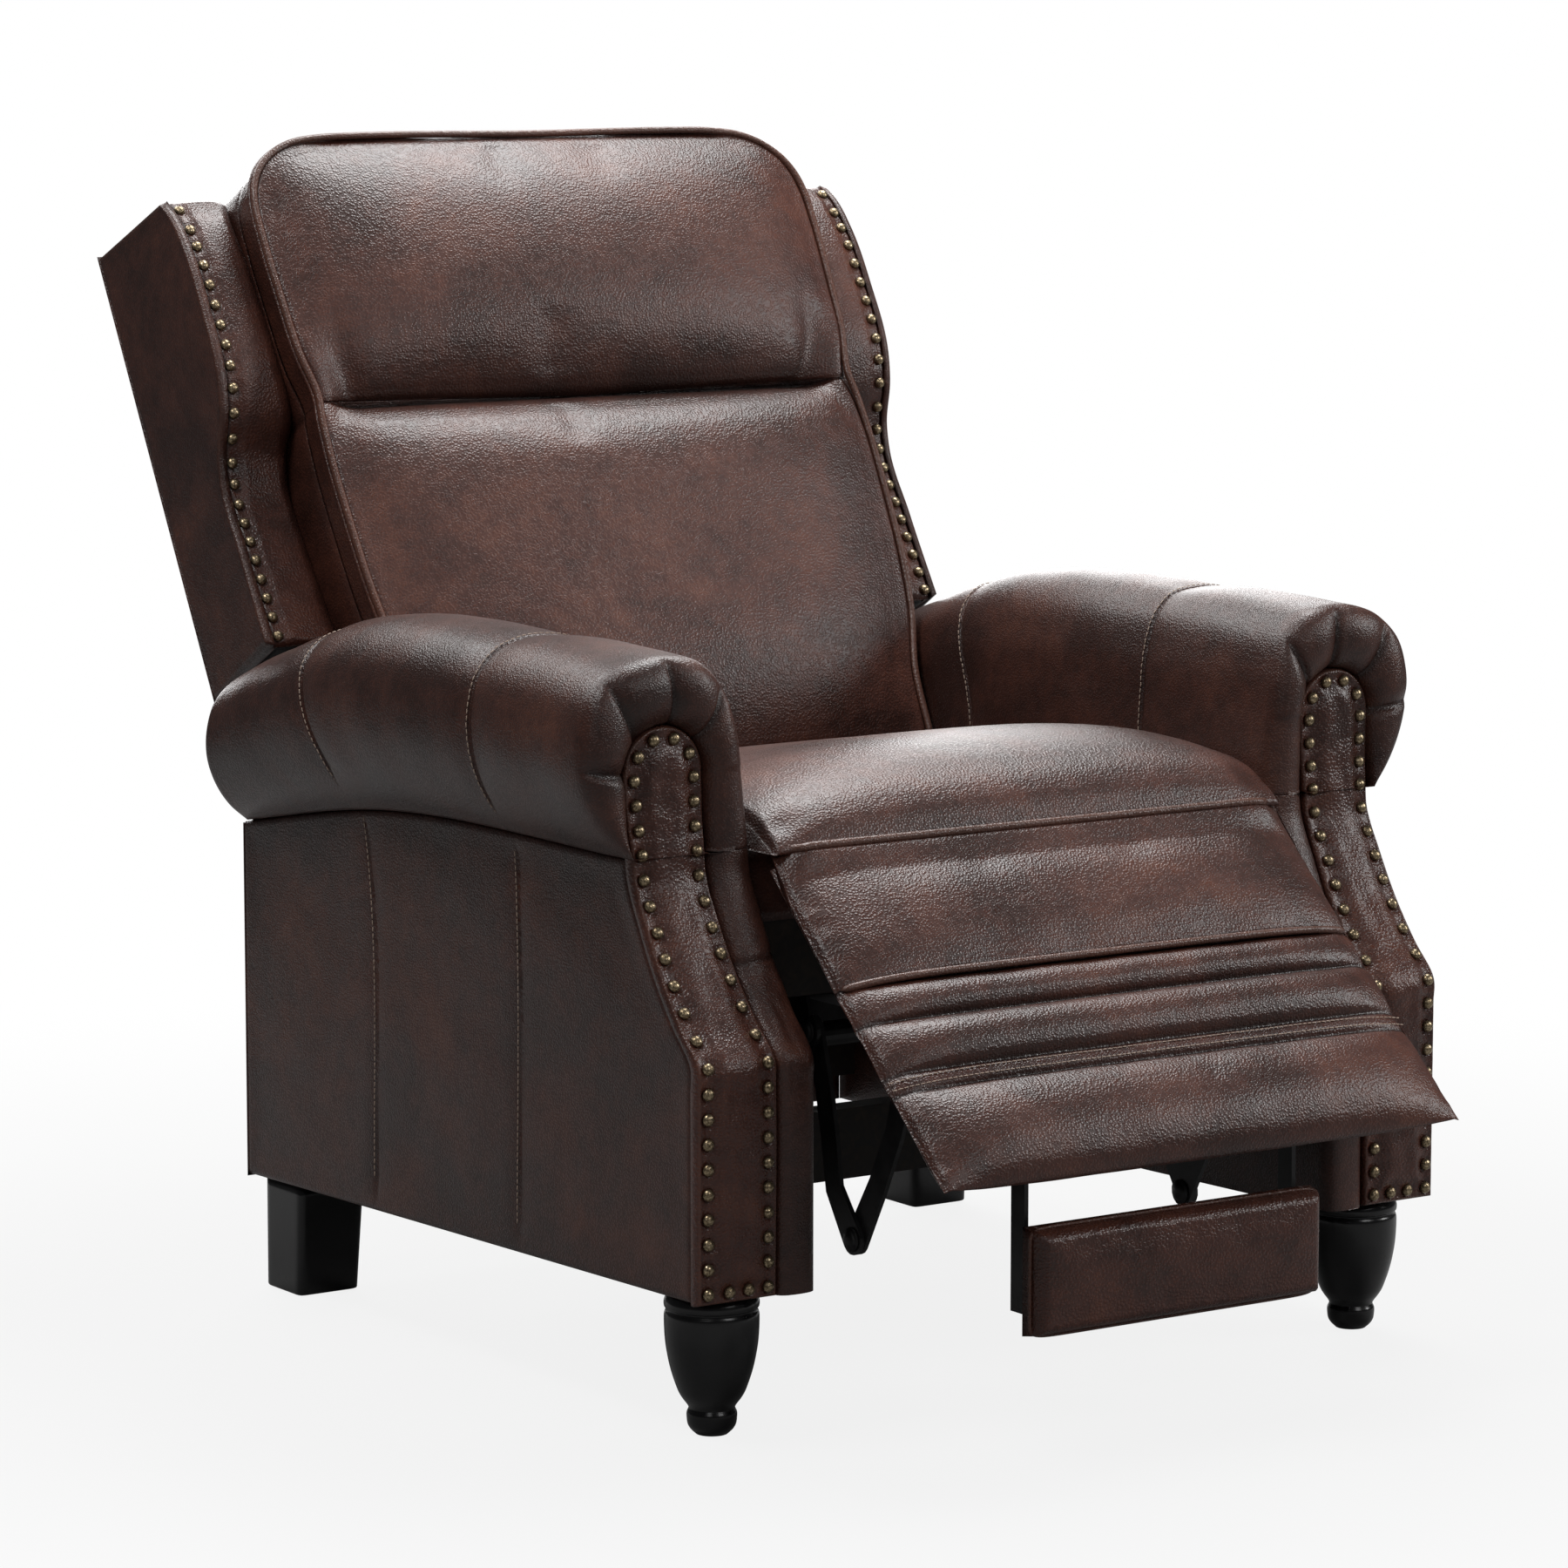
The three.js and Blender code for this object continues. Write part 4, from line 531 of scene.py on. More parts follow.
# The wall's foot and top depend on the place along the arm, and its front on the height, so
# the two settle on each other in a few rounds.
y = 0
for _ in range(6):
    z = box_bottom(y) + (box_seam(y) + 1 - box_bottom(y)) * side_q
    start = arm_front(z) + 10
    y = start + (box_rear - 3 - start) * side_p
side_thick = 8
side_face = xyz(box_x - side_thick, y, z)
near = edge_distance(side_face)
side_lift = (1.4 * crumple(y, z, 9, 260) + 0.5 * crumple(y, z, 11, 90) - 0.5
             - seam_dip(y, z, (1.6, 1.8), (1.0, 12))) * rise(0, 30, near)
# Painted shade near the panel's edges in its upper half, most under the roll, and a lighter worn
# line 4 mm in from the folded edge.
side_wear_and_shade = -0.5 * rise(25, 0, near) * rise(0.5, 1, side_q) + 0.25 * bell(near, 4, 4)
side_grid = upholstered(side_face, (1, 0, 0), side_thick, 7, side_lift)
side_wear_and_shade_both = np.concatenate([side_wear_and_shade, side_wear_and_shade[:, ::-1]], 1)


def wall_stitches(name, x, z, out, side):
    """A row of stitches beside both seams, at heights on an upright wall of the arm."""
    for which, seam in enumerate(seam_places(z)):
        stitched(f"{name}_stitches_{which}", xyz(x, seam + 2.4, z), out, "base", side)


for name, side in both_sides:
    skin(f"{name}_side_hide", side_grid, "base", shaded_arm_hide, side, side_wear_and_shade_both,
         stands_for=[f"{name}_side_panel"])
    wall_stitches(f"{name}_side", box_x - 0.6, np.linspace(140, 448, 80), (1, 0, 0), side)

# The arm's rear: a flat hide over a thin layer of padding, tacked over the end of the frame. The
# apron between the two arms is a low board covered in the same way.


def plate(corner, along, across, rows, columns):
    """A flat grid of points: a corner plus shares of the plate's two edges."""
    p, q = np.linspace(0, 1, rows)[:, None, None], np.linspace(0, 1, columns)[:, None]
    return corner + p * along + q * across


rear_thick = 6
face = plate((arm_x, box_rear - rear_thick, box_low), (box_x - arm_x, 0, 0), (0, 0, 319), 30, 60)
rear_grid = upholstered(face, (0, 1, 0), rear_thick, 5,
                        0.4 * crumple(face[..., 0], face[..., 2], 3, 90))
for name, side in both_sides:
    skin(f"{name}_rear_hide", rear_grid, "base", shaded_arm_hide, side,
         stands_for=[f"{name}_arm_rear_panel"])
apron_half, apron_high, apron_thick = 264.3, 219.5, 5.8
face = plate((-apron_half, box_rear - apron_thick, box_low), (2 * apron_half, 0, 0),
             (0, 0, apron_high), 90, 40)
lift = 0.5 * crumple(face[..., 0], face[..., 2], 5, 130)
skin("apron_hide", upholstered(face, (0, 1, 0), apron_thick, 2, lift), "base", shaded_arm_hide,
     stands_for=["rear_apron"])

# The inner arm: one hide lines the seat's side, turns the front corner over a thick roll of
# stuffing and tucks in beside the scroll panel. A seam crosses it at the height of the knee.
wrap_z = np.linspace(100.5, 468, 120)[:, None]
phi = np.linspace(0, math.pi, 34)
wrap_front = arm_front(wrap_z) + 17.5
column_z = np.maximum(wrap_z, box_bottom(-425.0))
knee_gap = column_z - (381 + 3 * np.cos(phi))
fold = 3.4 * bell(knee_gap, 0, 2.4) + 1.8 * bell(knee_gap, -7, 7)
below = rise(384, 360, column_z)
creases = 1.5 * crumple(column_z, 60 * phi, 21, 42) * below * rise(250, 330, column_z)
flat_fall = 5.0 * below * np.sin(phi) ** 2
bulge = 23 * np.sin(phi) ** 0.75 - (fold - creases + flat_fall) * np.sin(phi) ** 0.5
scroll_width = bend([100, 309, 375, 409, 466, 480], [76, 76, 73, 71.5, 71, 71], wrap_z)
inner_x = box_x - scroll_width - 0.3
column = xyz(arm_x + (inner_x - arm_x) * (1 - np.cos(phi)) / 2, wrap_front - bulge, column_z)


def arm_wall(shares):
    """Places and heights on the arm's inner wall, from its front to its rear by shares."""
    y = wrap_front + (box_rear - 7 - wrap_front) * shares
    return y, np.minimum(np.maximum(wrap_z, box_bottom(y)), box_seam(y) + 1)


y, z = arm_wall(np.linspace(1, 0, 60))
lining = xyz(arm_x + 0.3 + seam_dip(y, z, (1.2, 2)), y, z)[:, :-1]
tucked_in = xyz(arm_x + 11.5, *arm_wall(np.linspace(0, 1, 12)))
wrap_grid = np.concatenate([lining, column, tucked_in], 1)
# Round the front corner: painted shade in the knee fold and where the hide turns in beside the
# scroll panel, and a paler line along the corner.
wrap_shade_and_paler_corner = np.zeros(wrap_grid.shape[:2])
wrap_shade_and_paler_corner[:, lining.shape[1]:][:, :len(phi)] = (
    -0.7 * np.clip(fold, 0, 3) / 3 + 0.25 * bell(phi, 1.4, 0.6) - 0.5 * rise(2.5, 3.1, phi))
for name, side in both_sides:
    skin(f"{name}_inner_hide", wrap_grid, "base", shaded_arm_hide, side, wrap_shade_and_paler_corner,
         stands_for=[f"{name}_inner_arm_pad"])
    wall_stitches(f"{name}_inner", arm_x + 0.1, np.linspace(300, 460, 40), (-1, 0, 0), side)

# Scroll panel: a shaped board with thin padding. Brass nails hold its edge down, so that the
# hide rises in the middle, dips at each nail and puckers between them.


def crowded(count):
    """Numbers from -1 to 1 that crowd at both ends: the sine of an even run."""
    return np.sin(np.linspace(-1, 1, count) * math.pi / 2)


def face_only(values, grid, rest=0.0):
    """Values for a whole ring grid: those given for its face, and the rest for the others."""
    whole = np.full(grid.shape[:2], rest)
    whole[:, :values.shape[1]] = values
    return whole


scroll_low = 118
head_turn = np.linspace(0, math.pi / 2, 40)
scroll_z = np.append(steps(scroll_low, 5, 122, 210, head_z)[:-1],
                     head_z + head_r * np.sin(head_turn))[:, None]
scroll_mid = bend([100, 309, 375, 409, 466, 520, 580],
                  [342, 342, 343.5, 344.2, 344.5, head_x, head_x], scroll_z)
scroll_half = np.where(
    scroll_z <= head_z,
    bend([100, 309, 375, 409, 466, 520, 532], [38, 38, 36.5, 35.7, 35.5, 38, 38], scroll_z),
    np.sqrt(np.clip(head_r ** 2 - (scroll_z - head_z) ** 2, 0, None)))
scroll_x = scroll_mid + scroll_half * crowded(61)
scroll_near = np.minimum(np.where(
    scroll_z < head_z, scroll_half - np.abs(scroll_x - scroll_mid),
    head_r - np.hypot(scroll_x - head_x, scroll_z - head_z)), scroll_z - scroll_low).clip(0)


def nail_places(node):
    """The middle of each nail of a CAD row of nails: its points, grouped by their distance."""
    mesh = frame["nodes"][node].data
    points = np.zeros(len(mesh.vertices) * 3)
    mesh.vertices.foreach_get("co", points)
    points = points.reshape(-1, 3) * 1000 - (0, origin_shift, 0)
    middles = []
    while len(points):
        group, size = points[:1], 0
        while len(group) > size:
            size = len(group)
            near = np.linalg.norm(points[:, None] - group[None], axis=-1).min(1) < 6.4
            group = points[near]
        middles.append((group.min(0) + group.max(0)) / 2)
        points = points[~near]
    return np.array(middles)


def nail_dips(x, z, nails, depth):
    """How deep a row of nails pulls the hide in: a bell round each nail."""
    return depth * sum(bell(np.hypot(x - nail[0], z - nail[2]), 0, 7.5) for nail in nails)


arm_nails, arm_dip = nail_places("right_arm_nails"), 2.6
dips = nail_dips(scroll_x, scroll_z, arm_nails, arm_dip)
t = np.clip(1 - scroll_near / 4.5, 0, 1)
scroll_lift = (4.5 * rise(8, 26, scroll_near) - 0.8 - dips
               + 1.3 * crumple(scroll_x, scroll_z, 31, 34) * rise(4, 12, scroll_near)
               + 0.9 * crumple(scroll_x, scroll_z, 33, 13) * bell(scroll_near, 11, 7))
scroll_lift = (8 + scroll_lift * rise(0, 5, scroll_near)) * np.sqrt(1 - t * t)
scroll_front = xyz(scroll_x, arm_front(scroll_z) + 8 - scroll_lift, scroll_z)
scroll_back = xyz(scroll_x, arm_front(scroll_z) + 11.9, scroll_z)
scroll_grid = np.concatenate([scroll_front, scroll_back[:, ::-1]], 1)
# Worn lighter along the folded edge; painted shade in the dips round the nails.
scroll_wear_and_shade = (0.55 * bell(scroll_near, 2.0, 1.6)
              - 0.45 * np.clip(dips / arm_dip, 0, 1) * (scroll_near > 3))
for name, side in both_sides:
    skin(f"{name}_scroll_hide", scroll_grid, "base", front_hide, side,
         face_only(scroll_wear_and_shade, scroll_grid), stands_for=[f"{name}_scroll_panel"])

# Nails: domed heads of antiqued brass on short shanks. They are driven in at a thumb's width
# round each scroll panel and along each wing, where they hold the hide's edge down.


def coated(name, spots, stops, rough, bump=None, grain=None, more=None):
    """A plain finish. Noise, given by its scale and detail, picks the colour and the roughness,
    which starts at one number and grows by another. The bumps, given by their strength and
    depth, follow the same noise, or that of the grain."""
    f = Finish(bpy.data.materials.new(name))
    at = f.node("TexCoord", None, None, "Object")

    def noise(scale, detail, stretch=(1, 1, 1), twist=0.0):
        place = f.node("Mapping", None, {"Vector": at, "Scale": stretch})
        return f.node("TexNoise", None, {"Vector": place, "Scale": scale, "Detail": detail,
                                         "Distortion": twist})

    tone = noise(*spots)
    shader = {"Base Color": f.node("ValToRGB", {"stops": stops}, {"Fac": tone}),
              "Roughness": tone * rough[1] + rough[0] if rough[1] else rough[0], **(more or {})}
    if bump:
        shader["Normal"] = f.node("Bump", None, {"Strength": bump[0], "Distance": bump[1],
                                                 "Height": noise(*grain) if grain else tone})
    return f.done(f.node("BsdfPrincipled", None, shader))


nail_head = lathe([[0, -1.2], [5.0, -1.2], [5.25, 0.4], [4.3, 2.2], [2.3, 3.4], [0, 3.8]], 12)
brass = coated("antique_brass", (620.0, 3.0),
               [(0.30, (0.060, 0.044, 0.026)), (0.48, (0.23, 0.175, 0.105)),
                (0.70, (0.46, 0.37, 0.245))],
               (0.61, -0.5), bump=(0.35, 0.0003), more={"Metallic": 0.92})


def tilt(grid, angle, pivot=(0, 0)):
    """Turns points about the X axis by an angle and moves them to a pivot's Y and Z."""
    x, y, z = np.moveaxis(grid, -1, 0)
    return xyz(x, pivot[0] + y * math.cos(angle) + z * math.sin(angle),
               pivot[1] - y * math.sin(angle) + z * math.cos(angle))


def nailed(name, nails, front, proud, body, side, node, angle=0, pivot=(0, 0)):
    """A row of nails on a front line, each with its head square to the line and in by so much.
    The angle and the pivot lean the row with its piece."""
    z = nails[:, 2]
    out = tilt(unit(xyz(0, -1, (front(z + 4) - front(z - 4)) / 8)), angle)
    across = unit(np.cross(out, (0.0, 0.3, 1.0)))
    many(name, nail_head, tilt(xyz(nails[:, 0], front(z) + proud, z), angle, pivot),
         np.stack([across, np.cross(out, across), out], 1), body, brass, side, [node])


for name, side in both_sides:
    nailed(f"{name}_scroll_nails", arm_nails, arm_front, 0.5, "base", side, f"{name}_arm_nails")

# Feet: the front ones are turned from solid wood, the rear ones are sawn blocks. All are
# lacquered black with a soft shine.
lacquer = coated("black_lacquer", (40.0, 4.0),
                 [(0.3, (0.0025, 0.0025, 0.003)), (0.7, (0.006, 0.0057, 0.0057))], (0.16, 0.16),
                 bump=(0.25, 0.0004), grain=(34.0, 5.0, (9.0, 9.0, 1.2)),
                 more={"Coat Weight": 0.12, "Coat Roughness": 0.12, "Specular IOR Level": 0.35})
foot_profile = np.array([
    [0.34, 0], [0.45, 0.035], [0.51, 0.07], [0.53, 0.115], [0.53, 0.15], [0.5, 0.175],
    [0.49, 0.19], [0.53, 0.215], [0.62, 0.255], [0.7, 0.3], [0.78, 0.37], [0.86, 0.455],
    [0.92, 0.54], [0.97, 0.64], [0.995, 0.74], [1, 0.85], [0.97, 0.885], [0.965, 0.9],
    [1, 0.915], [1, 0.955], [0.94, 1]])
foot_x, foot_radius, foot_height = 333, 38.5, 115.4
foot_fine = bend(np.arange(len(foot_profile)), foot_profile,
                 np.linspace(0, len(foot_profile) - 1, 121))
wide, tall = foot_radius * foot_fine[:, :1], foot_height * foot_fine[:, 1:]
c, s = circle(64)
foot_grid = xyz(foot_x + wide * c, foot_y + wide * s, tall)
c, s = circle(80)
corner = np.maximum(np.abs(c) ** 14 + np.abs(s) ** 14, 1e-9) ** (-1 / 14)
block_z = np.array([0, 0.4, 1.2, 2.2, 30, 60, 90, 99.4])[:, None]
block_in = np.array([1.8, 0.8, 0.2, 0, 0, 0, 0, 0])[:, None]
block_half = (61 + 5 * block_z / 99.4) / 2
block_grid = xyz(366 - block_half + (block_half - block_in) * corner * c,
                 297 - block_half + (block_half - block_in) * corner * s, block_z)
for name, side in both_sides:
    skin(f"{name}_turned_foot", foot_grid, "base", lacquer, side,
         stands_for=[f"{name}_front_foot"])
    skin(f"{name}_block_foot", block_grid, "base", lacquer, side,
         stands_for=[f"{name}_rear_foot"])

# Back: two stuffed pillows on one frame. The frame's own directions are used here: X across, Y
# rearward from the hinge and Z up the back, and lean() turns them into the chair's.
back_lean, hinge, back_height = math.radians(28.5), (190, 400), 666
back_at = back_height * np.array([
    0.045, 0.062, 0.156, 0.245, 0.318, 0.423, 0.545, 0.593, 0.608, 0.625, 0.668, 0.752, 0.853,
    0.901, 0.931, 0.96, 0.976, 0.988, 0.996, 1.0])
back_half = 300 * np.array([
    0.86, 0.863, 0.877, 0.93, 0.953, 0.967, 0.97, 0.963, 0.957, 0.96, 0.98, 0.993, 1, 0.997,
    0.98, 0.937, 0.893, 0.84, 0.773, 0.683])
back_foot, fold_at, back_front = 30, 405, -70


def lean(grid):
    """From the back's own directions to the chair's."""
    return tilt(grid, back_lean, hinge)


def half_at(z):
    """Half the back's width at a height."""
    return bend(back_at, back_half, z)


def stuffed(name, grid, free, rows=48, columns=72, cap=7):
    """The hide once its stuffing pushes it out. A coarser copy of the rings is blown up as cloth:
    free says where it may move, from 0 at a seam or a board to 1 in the open. Its movement, no
    longer than the cap, is carried back to the full grid along smooth curves."""
    rings, count = grid.shape[:2]
    ring = grid[rings // 2]
    down = walked(grid.mean(1)) + 1e-6 * np.arange(rings)
    around = walked(np.vstack([ring, ring[:1]]))
    row, column = (np.unique(np.interp(at, run, np.arange(len(run))).round()).astype(int)
                   for at, run in ((np.linspace(0, down[-1], rows), down),
                                   (np.linspace(0, around[-1], columns, endpoint=False), around)))
    coarse = grid[row][:, column] / 1000
    high, wide = coarse.shape[:2]
    corners, quads = coarse.reshape(-1, 3), ring_faces(high, wide)
    a, b, c = (corners[quads[:, n]] - corners.mean(0) for n in (0, 1, 2))
    if (a * np.cross(b, c)).sum() < 0:
        quads = quads[:, ::-1]
    mesh = bpy.data.meshes.new(name + "_cloth")
    mesh.from_pydata(corners.tolist(), [], quads.tolist())
    cloth = bpy.data.objects.new(name + "_cloth", mesh)
    bpy.context.scene.collection.objects.link(cloth)
    held = (1 - free[row][:, column].reshape(-1)).round(2)
    group = cloth.vertex_groups.new(name="held")
    for share in np.unique(held):
        group.add(np.flatnonzero(held == share).tolist(), float(share), "REPLACE")
    blow = cloth.modifiers.new("blow", "CLOTH")
    for key, value in {
            "quality": 5, "mass": 0.3, "tension_stiffness": 30, "compression_stiffness": 30,
            "shear_stiffness": 12, "bending_stiffness": 12, "use_pressure": True,
            "uniform_pressure_force": 4, "vertex_group_mass": "held", "shrink_min": -0.002}.items():
        setattr(blow.settings, key, value)
    blow.settings.effector_weights.gravity = 0
    blow.collision_settings.use_collision = False
    last_frame = 20
    blow.point_cache.frame_start, blow.point_cache.frame_end = 1, last_frame
    for frame_at in range(1, last_frame + 1):
        bpy.context.scene.frame_set(frame_at)
    blown = cloth.evaluated_get(bpy.context.evaluated_depsgraph_get()).data
    at = np.zeros(high * wide * 3)
    blown.vertices.foreach_get("co", at)
    moved = (at.reshape(coarse.shape) - coarse) * 1000
    bpy.context.scene.frame_set(1)
    bpy.data.objects.remove(cloth)
    size = np.linalg.norm(moved, axis=-1, keepdims=True)
    moved = moved * cap * np.tanh(size / cap) / (size + 1e-6)
    tall = bend(down[row], moved.reshape(high, -1), down).reshape(rings, wide, 3)
    tall = np.concatenate([tall, tall[:, :1]], 1).transpose(1, 0, 2).reshape(wide + 1, -1)
    full = bend(np.append(around[column], around[-1]), tall, around[:-1])
    return grid + full.reshape(count, rings, 3).transpose(1, 0, 2) * free[..., None]


def signed(numbers, power):
    """A power of each number's size, with the number's own sign."""
    return np.sign(numbers) * np.abs(numbers) ** power


def pillow(z, swell_rows, drawn_rows, ears):
    """A pillow's rings at heights up the back, with each point's painted shade and freedom to move:
    a crowned front that is drawn in at its sewn ends and corners, a side band and a flat rear."""
    low, high, rear_y = z[0], z[-1], -36
    share = (z - low) / (high - low)
    swell, drawn = (depth * bend(*np.array(rows).T, share)[:, None]
                    for depth, rows in ((25, swell_rows), (18, drawn_rows)))
    z, half = z[:, None], half_at(z)[:, None]
    s = signed(crowded(141), 0.9)
    x, edge, crown = half * s, half * (1 - np.abs(s)), 1 - np.abs(s) ** 3.2
    kept = drawn * (1 - 0.8 * rise(0.83, 0.965, np.abs(s)))
    dent = sum(amount * bell(z, at_z, size_z) * bell(np.abs(s), at_s, size_s)
               for at_z, at_s, size_z, size_s, amount in ears)
    folds = (0.8 * crumple(x, z, 41, 150)
             + 0.35 * crumple(x * 2, z, 43, 44) * rise(0.5, 0.95, np.abs(s)))
    y = (back_front + kept - swell * crown + 5.5 * (1 - rise(0, 9, edge)) ** 2 + dent
         - folds * crown ** 0.3 * rise(0, 14, edge))
    y = np.minimum(y, rear_y - 2)
    q = np.linspace(0, 1, 9)[1:]
    band = xyz(half - 1.5, y[:, -1:] + (rear_y - y[:, -1:]) * q, z)
    rear = xyz((half - 2.5) * np.linspace(1, -1, 16)[1:-1], rear_y, z)
    grid = np.concatenate([xyz(x, y, z), band, rear, band[:, ::-1] * (-1, 1, 1)], 1)
    # Painted shade: darker where the front is drawn in, along its sides beside the piping, and over
    # the side band and rear.
    wear_and_shade_values = -0.9 * np.clip(kept / 18, 0, 1) - 0.8 * bell(edge, 2.2, 1.6)
    free = rise(1, 24, edge) * rise(1, 20, z - low) * rise(1, 20, high - z)
    return grid, face_only(wear_and_shade_values, grid, -0.35), face_only(free, grid)


def dense(low, high, count):
    """Heights that crowd at both ends, where the sewn folds are: an even run less a sine."""
    t = np.linspace(0, 1, count)
    return low + (high - low) * (t - 0.42 * np.sin(2 * math.pi * t) / math.pi)


lumbar, lumbar_shade, lumbar_free = pillow(
    dense(back_foot, fold_at - 0.3, 190),
    [[0, 0.1], [0.05, 0.42], [0.12, 0.68], [0.2, 0.87], [0.3, 0.99], [0.38, 1], [0.5, 0.92],
     [0.62, 0.84], [0.74, 0.84], [0.83, 0.82], [0.89, 0.7], [0.94, 0.48], [0.973, 0.22],
     [1, -0.05]],
    [[0, 0.3], [0.03, 0.05], [0.06, 0], [0.5, 0], [0.84, 0], [0.89, 0.05], [0.94, 0.2],
     [0.973, 0.5], [0.992, 0.85], [1, 1.15]],
    [(385, 0.93, 30, 0.05, 3.0), (120, 0.9, 90, 0.06, 1.5)])
head, head_shade, head_free = pillow(
    dense(fold_at + 0.3, 664.5, 170),
    [[0, -0.05], [0.041, 0.18], [0.095, 0.44], [0.152, 0.65], [0.256, 0.88], [0.4, 1],
     [0.55, 0.99], [0.7, 0.87], [0.82, 0.67], [0.9, 0.45], [0.96, 0.2], [1, 0]],
    [[0, 1.15], [0.014, 0.78], [0.041, 0.5], [0.095, 0.2], [0.152, 0.05], [0.25, 0], [0.8, 0],
     [0.92, 0.06], [0.97, 0.12], [1, 0.3]],
    [(430, 0.87, 52, 0.05, 5.5), (440, 0.97, 40, 0.03, -2.0), (600, 0.93, 26, 0.06, 1.6)])
skin("lumbar_hide", lean(stuffed("lumbar", lumbar, lumbar_free)), "back", seat_hide,
     rub=lumbar_shade, stands_for=["lumbar_cushion"])
skin("head_hide", lean(stuffed("head", head, head_free)), "back", seat_hide,
     rub=head_shade, stands_for=["head_pillow"])

# Piping: a cord in the same hide, sewn round the front edge of both pillows with a narrow
# flange, and rubbed lighter all over.


def tube(path, radius, sides=10):
    """A round cord along a path: circles across the path, its ends drawn to a point."""
    along = unit(np.gradient(path, axis=0))
    across = unit(np.cross(along, (0.31, 0.42, 0.85)))
    size = np.full((len(path), 1, 1), float(radius))
    size[[0, -1]], size[[1, -2]] = radius * 0.05, radius * 0.75
    c, s = (turn[:, None] for turn in circle(sides))
    return path[:, None] + size * (across[:, None] * c + np.cross(along, across)[:, None] * s)


mirror = (-1, 1, 1)
side_z = np.append(np.linspace(34, 640, 150),
                   back_height * np.array([0.968, 0.976, 0.984, 0.990, 0.995, 0.999]))
left_run = xyz(-half_at(side_z), back_front + 0.5, side_z)
top_run = xyz(np.linspace(-197, 197, 60), back_front + 0.5,
              back_height + 0.6 * np.sin(np.linspace(0, 9, 60)))
pipe_path = even(np.concatenate([left_run, top_run, left_run[::-1] * mirror]), 4.0)[0]
weight = np.hanning(9) / np.hanning(9).sum()
pipe_path = np.stack([np.convolve(np.pad(column, 4, "edge"), weight, "valid")
                      for column in pipe_path.T], -1)
inward = unit((0, 0, 330) - pipe_path * (1, 0, 1))
skin("back_piping", lean(tube(pipe_path + inward * 0.6 + (0, -0.4, 0), 3.3)), "back", seat_hide,
     rub=0.55)
skin("back_piping_flange", lean(tube(pipe_path - inward * 1.6 + (0, 4.6, 0), 1.9, 8)), "back",
     seat_hide, rub=0.2)

# Boxing: the band of hide and foam round the back's sides and top, seamed at the fold between
# the pillows. It is open behind and below, where the covers close it.
band_top = 664
band_z = np.append(dense(back_foot, 640, 90),
                   band_top * np.array([0.972, 0.982, 0.990, 0.996, 1.0]))
band_side = xyz(2.5 - half_at(band_z), 0, np.minimum(band_z, band_top))
band_path, band_along = even(np.concatenate([
    band_side, xyz(np.linspace(-198, 198, 50), 0, band_top), band_side[::-1] * mirror]), 7)
out = np.cross(band_along, (0, 1, 0))
out *= np.sign((out * (band_path - (0, 0, 300))).sum(-1, keepdims=True))
deep = xyz(0, steps(-35.7, 4, -30, 1, -25, 15, 102, 1, 106, 4, 111.7), 0)
tucked = 1 - rise(0, 5, np.arange(len(deep)))
puff = (0.96 * np.sin(np.linspace(0, math.pi, len(deep))) - 0.5 - 3 * tucked
        - 2.5 * bell(band_path[:, 2:], fold_at, 4))
band_grid = np.concatenate([band_path[:, None] + deep + out[:, None] * puff[..., None],
                            band_path[:, None] + deep[::-1] - out[:, None] * 9], 1)
# Painted shade over the whole band, darkest at the seam between the pillows.
skin("back_boxing_hide", lean(band_grid), "back", seat_hide,
     rub=-0.35 - 0.4 * bell(band_path[:, 2:], fold_at, 5), stands_for=["back_boxing"])

# Rear covers: hide drawn over thin padded boards. One tall panel is nailed across the wings, and
# one short panel below it closes the back between the arms.
cover_y, cover_thick, cover_edge = 112.0, 10.5, 5
q = steps(0, 69, 1, 1, 1.0001, 1, 1.02, 1, 1.038)[:, None]
cover_z = 193 + 445 * q
cover_half = np.where(q <= 1, 365, 262 - (cover_z - 638) / 17 * 22)
face = xyz(cover_half * np.linspace(-1, 1, 120), cover_y, cover_z)
lift = 0.8 * crumple(face[..., 0], face[..., 2], 51, 240) * rise(0, 30, edge_distance(face))
skin("back_outer_hide", lean(upholstered(face, (0, 1, 0), cover_thick, cover_edge, lift)), "back",
     shaded_arm_hide, stands_for=["back_outer_panel"])
face = plate((-258, cover_y, -20), (516, 0, 0), (0, 0, 212.6), 80, 40)
lift = 0.4 * crumple(face[..., 0], face[..., 2], 53, 120)
skin("back_lower_hide", lean(upholstered(face, (0, 1, 0), cover_thick, cover_edge, lift)), "back",
     shaded_arm_hide, stands_for=["back_lower_panel"])

# Wings: a stuffed body with a wavy front, a flat outer panel whose edge is folded and nailed,
# and a black dust cover underneath.
wing_line = np.array([[201, -4], [289, 0], [363, 0], [383, -7], [414.5, -30], [434.6, -39],
                      [512.7, -46], [572.5, -42], [608.8, -32], [628, -21]])
wing_low, wing_high, wing_out, wing_rear, wing_deep = 201, 628, 356.7, 111.4, 133
wing_z = steps(wing_low, 4, 207, 1, 210, 149, 618, 1, 620, 6, wing_high)[:, None]


def wing_front(z):
    """The wing's front line, as places behind the hinge at a height."""
    return bend(wing_line[:, 0], wing_line[:, 1], z)


